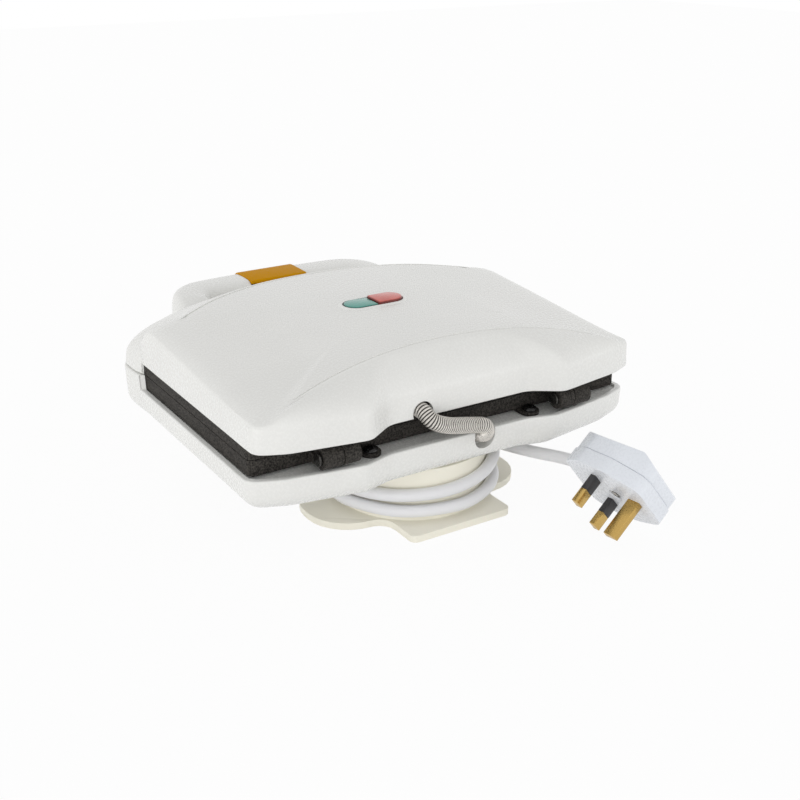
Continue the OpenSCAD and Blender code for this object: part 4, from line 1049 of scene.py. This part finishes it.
def screw_set(node, name, places, head_r, head_h, shank, material):
    """The screws of one node as one piece that stands for it."""
    body = frame["nodes"][node]["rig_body"]
    screws = [domed_screw(name, at, head_r, head_h, shank) for at in places]
    first = screws[0]
    bm = bmesh.new()
    for screw in screws:
        bm.from_mesh(screw.data)
    bm.to_mesh(first.data)
    bm.free()
    for screw in screws[1:]:
        bpy.data.objects.remove(screw)
    shade(first, 30)
    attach(first, body)
    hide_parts(node)
    return dress(first, material)


# ---- every piece ---------------------------------------------------------------

cord = mains_cord()
gland = eased("cord_gland", "strain_relief", 0.4, CORD)
plug_pieces = [
    eased("plug_base", "plug_body", 0.9, PLUG, segments=3),
    eased("plug_cover", "plug_cap", 1.1, PLUG, segments=3),
    eased("plug_pins", "pins", 0.35, BRASS),
    eased("pin_sleeves", "sleeves", 0.2, SLEEVE),
    eased("plug_screw", "plug_screw_head", 0.15, STEEL),
]
ribbed_conduit()

lid_shell()
pan_shell()
eased("latch_clip", "clip", 0.35, YELLOW)
eased("green_lens", "lamp_green", 0.9, GREEN, segments=3)
eased("red_lens", "lamp_red", 0.9, RED, segments=3)
eased("lower_plate", "lower_grill", 0.9, CAST, segments=3)
eased("upper_plate", "upper_grill", 0.9, CAST, segments=3)
eased("hinge_pins", "hinge_rods", 0.3, DARK_STEEL)
eased("cord_drum", "drum_and_foot", 0.7, IVORY)
eased("foot_pads", "front_pads", 0.5, RUBBER)
eased("conduit_socket", "sleeve_socket", 0.4, WHITE)

# Screws in the plates' ears, which are EAR_T thick and lie EAR_GAP from the casings.
EAR_X, EAR_Y, EAR_T, EAR_GAP = 51.5, PLATE_BACK + 4.9, 2, 0.3
UPSIDE_DOWN = Matrix.Rotation(math.pi, 4, "X")
lower_ears = [Matrix.Translation((x, EAR_Y, RIM_Z - DECK_DROP + EAR_GAP + EAR_T))
              for x in (-EAR_X, EAR_X)]
upper_ears = [Matrix.Translation((x, EAR_Y, LID_EDGE - EAR_GAP - EAR_T)) @ UPSIDE_DOWN
              for x in (-EAR_X, EAR_X)]
screw_set("plate_screws", "lower_screws", lower_ears, 4, 2.8, 4.6, BLACK)
screw_set("lid_screws", "upper_screws", upper_ears, 4, 2.2, 6.2, BLACK)

for node, material in (
        ("drum_screws", STEEL), ("clip_pin", STEEL), ("lower_heater", HEATER), ("upper_heater", HEATER),
        ("lower_reflector", ALLOY), ("upper_reflector", ALLOY), ("thermal_fuse", BRASS),
        ("thermostat", CERAMIC), ("terminal_block", CERAMIC), ("lamp_holder", CERAMIC),
        ("plug_fuse", CERAMIC), ("neon_lamps", NEON)):
    for part in frame["nodes"][node].material_slots:
        part.material = material

# ---- stage ------------------------------------------------------------------------

FLOOR_HALF = 3
FLOOR_GLOW = 0.94  # share of the floor's white that no shadow darkens
HORIZON, ZENITH = 1.3, 0.5  # strength of the studio's light from the sides and from above
LAMP_SIZE, LAMP_AIM = (1.6, 0.3), (0, 0, 0.1)


def seen_directly(nodes, links):
    """1 for rays that show the background: camera, mirror and see-through rays."""
    path = nodes.new("ShaderNodeLightPath")
    value = path.outputs["Is Camera Ray"]
    for kind in ("Is Glossy Ray", "Is Transmission Ray"):
        value = calculated(nodes, links, "MAXIMUM", value, path.outputs[kind])
    return value


floor_mesh = bpy.data.meshes.new("floor")
floor_plan = rectangle(-FLOOR_HALF, FLOOR_HALF, -FLOOR_HALF, FLOOR_HALF)
floor_mesh.from_pydata([(*p, 0) for p in floor_plan], [], [(0, 1, 2, 3)])
floor = bpy.data.objects.new("floor", floor_mesh)
bpy.context.scene.collection.objects.link(floor)
floor_material, nodes, links, shader = material_nodes("floor")
shader.inputs["Base Color"].default_value = (0.92, 0.92, 0.92, 1)
shader.inputs["Roughness"].default_value = 0.9
glow = nodes.new("ShaderNodeEmission")
blend = nodes.new("ShaderNodeMixShader")
share = nodes.new("ShaderNodeMath")
share.operation = "MULTIPLY"
share.inputs[1].default_value = FLOOR_GLOW
links.new(seen_directly(nodes, links), share.inputs[0])
links.new(share.outputs[0], blend.inputs["Fac"])
links.new(shader.outputs["BSDF"], blend.inputs[1])
links.new(glow.outputs["Emission"], blend.inputs[2])
links.new(blend.outputs["Shader"], nodes["Material Output"].inputs["Surface"])
floor.data.materials.append(floor_material)

world = bpy.data.worlds.new("studio")
bpy.context.scene.world = world
world.use_nodes = True
nodes, links = world.node_tree.nodes, world.node_tree.links
tent = nodes["Background"]
plain = nodes.new("ShaderNodeBackground")
for background in (tent, plain):
    background.inputs["Color"].default_value = (1, 1, 1, 1)
place = nodes.new("ShaderNodeTexCoord")
split = nodes.new("ShaderNodeSeparateXYZ")
links.new(place.outputs["Generated"], split.inputs["Vector"])
links.new(spread(nodes, links, split.outputs["Z"], HORIZON, ZENITH, 0.0, 1.0), tent.inputs["Strength"])
both = nodes.new("ShaderNodeMixShader")
links.new(seen_directly(nodes, links), both.inputs["Fac"])
links.new(tent.outputs["Background"], both.inputs[1])
links.new(plain.outputs["Background"], both.inputs[2])
links.new(both.outputs["Shader"], nodes["World Output"].inputs["Surface"])


def softbox(name, place, power):
    """Low wide lamp that faces the toaster."""
    lamp = bpy.data.lights.new(name, "AREA")
    lamp.shape = "RECTANGLE"
    lamp.size, lamp.size_y = LAMP_SIZE
    lamp.energy = power
    box = bpy.data.objects.new(name, lamp)
    bpy.context.scene.collection.objects.link(box)
    box.location = place
    box.rotation_euler = (Vector(place) - Vector(LAMP_AIM)).to_track_quat("Z", "Y").to_euler()


softbox("key", (1.3, 0.6, 0.17), 3)
softbox("fill", (-0.9, 1.3, 0.17), 1.5)

bpy.context.scene.view_settings.view_transform = "Standard"
bpy.context.view_layer.update()
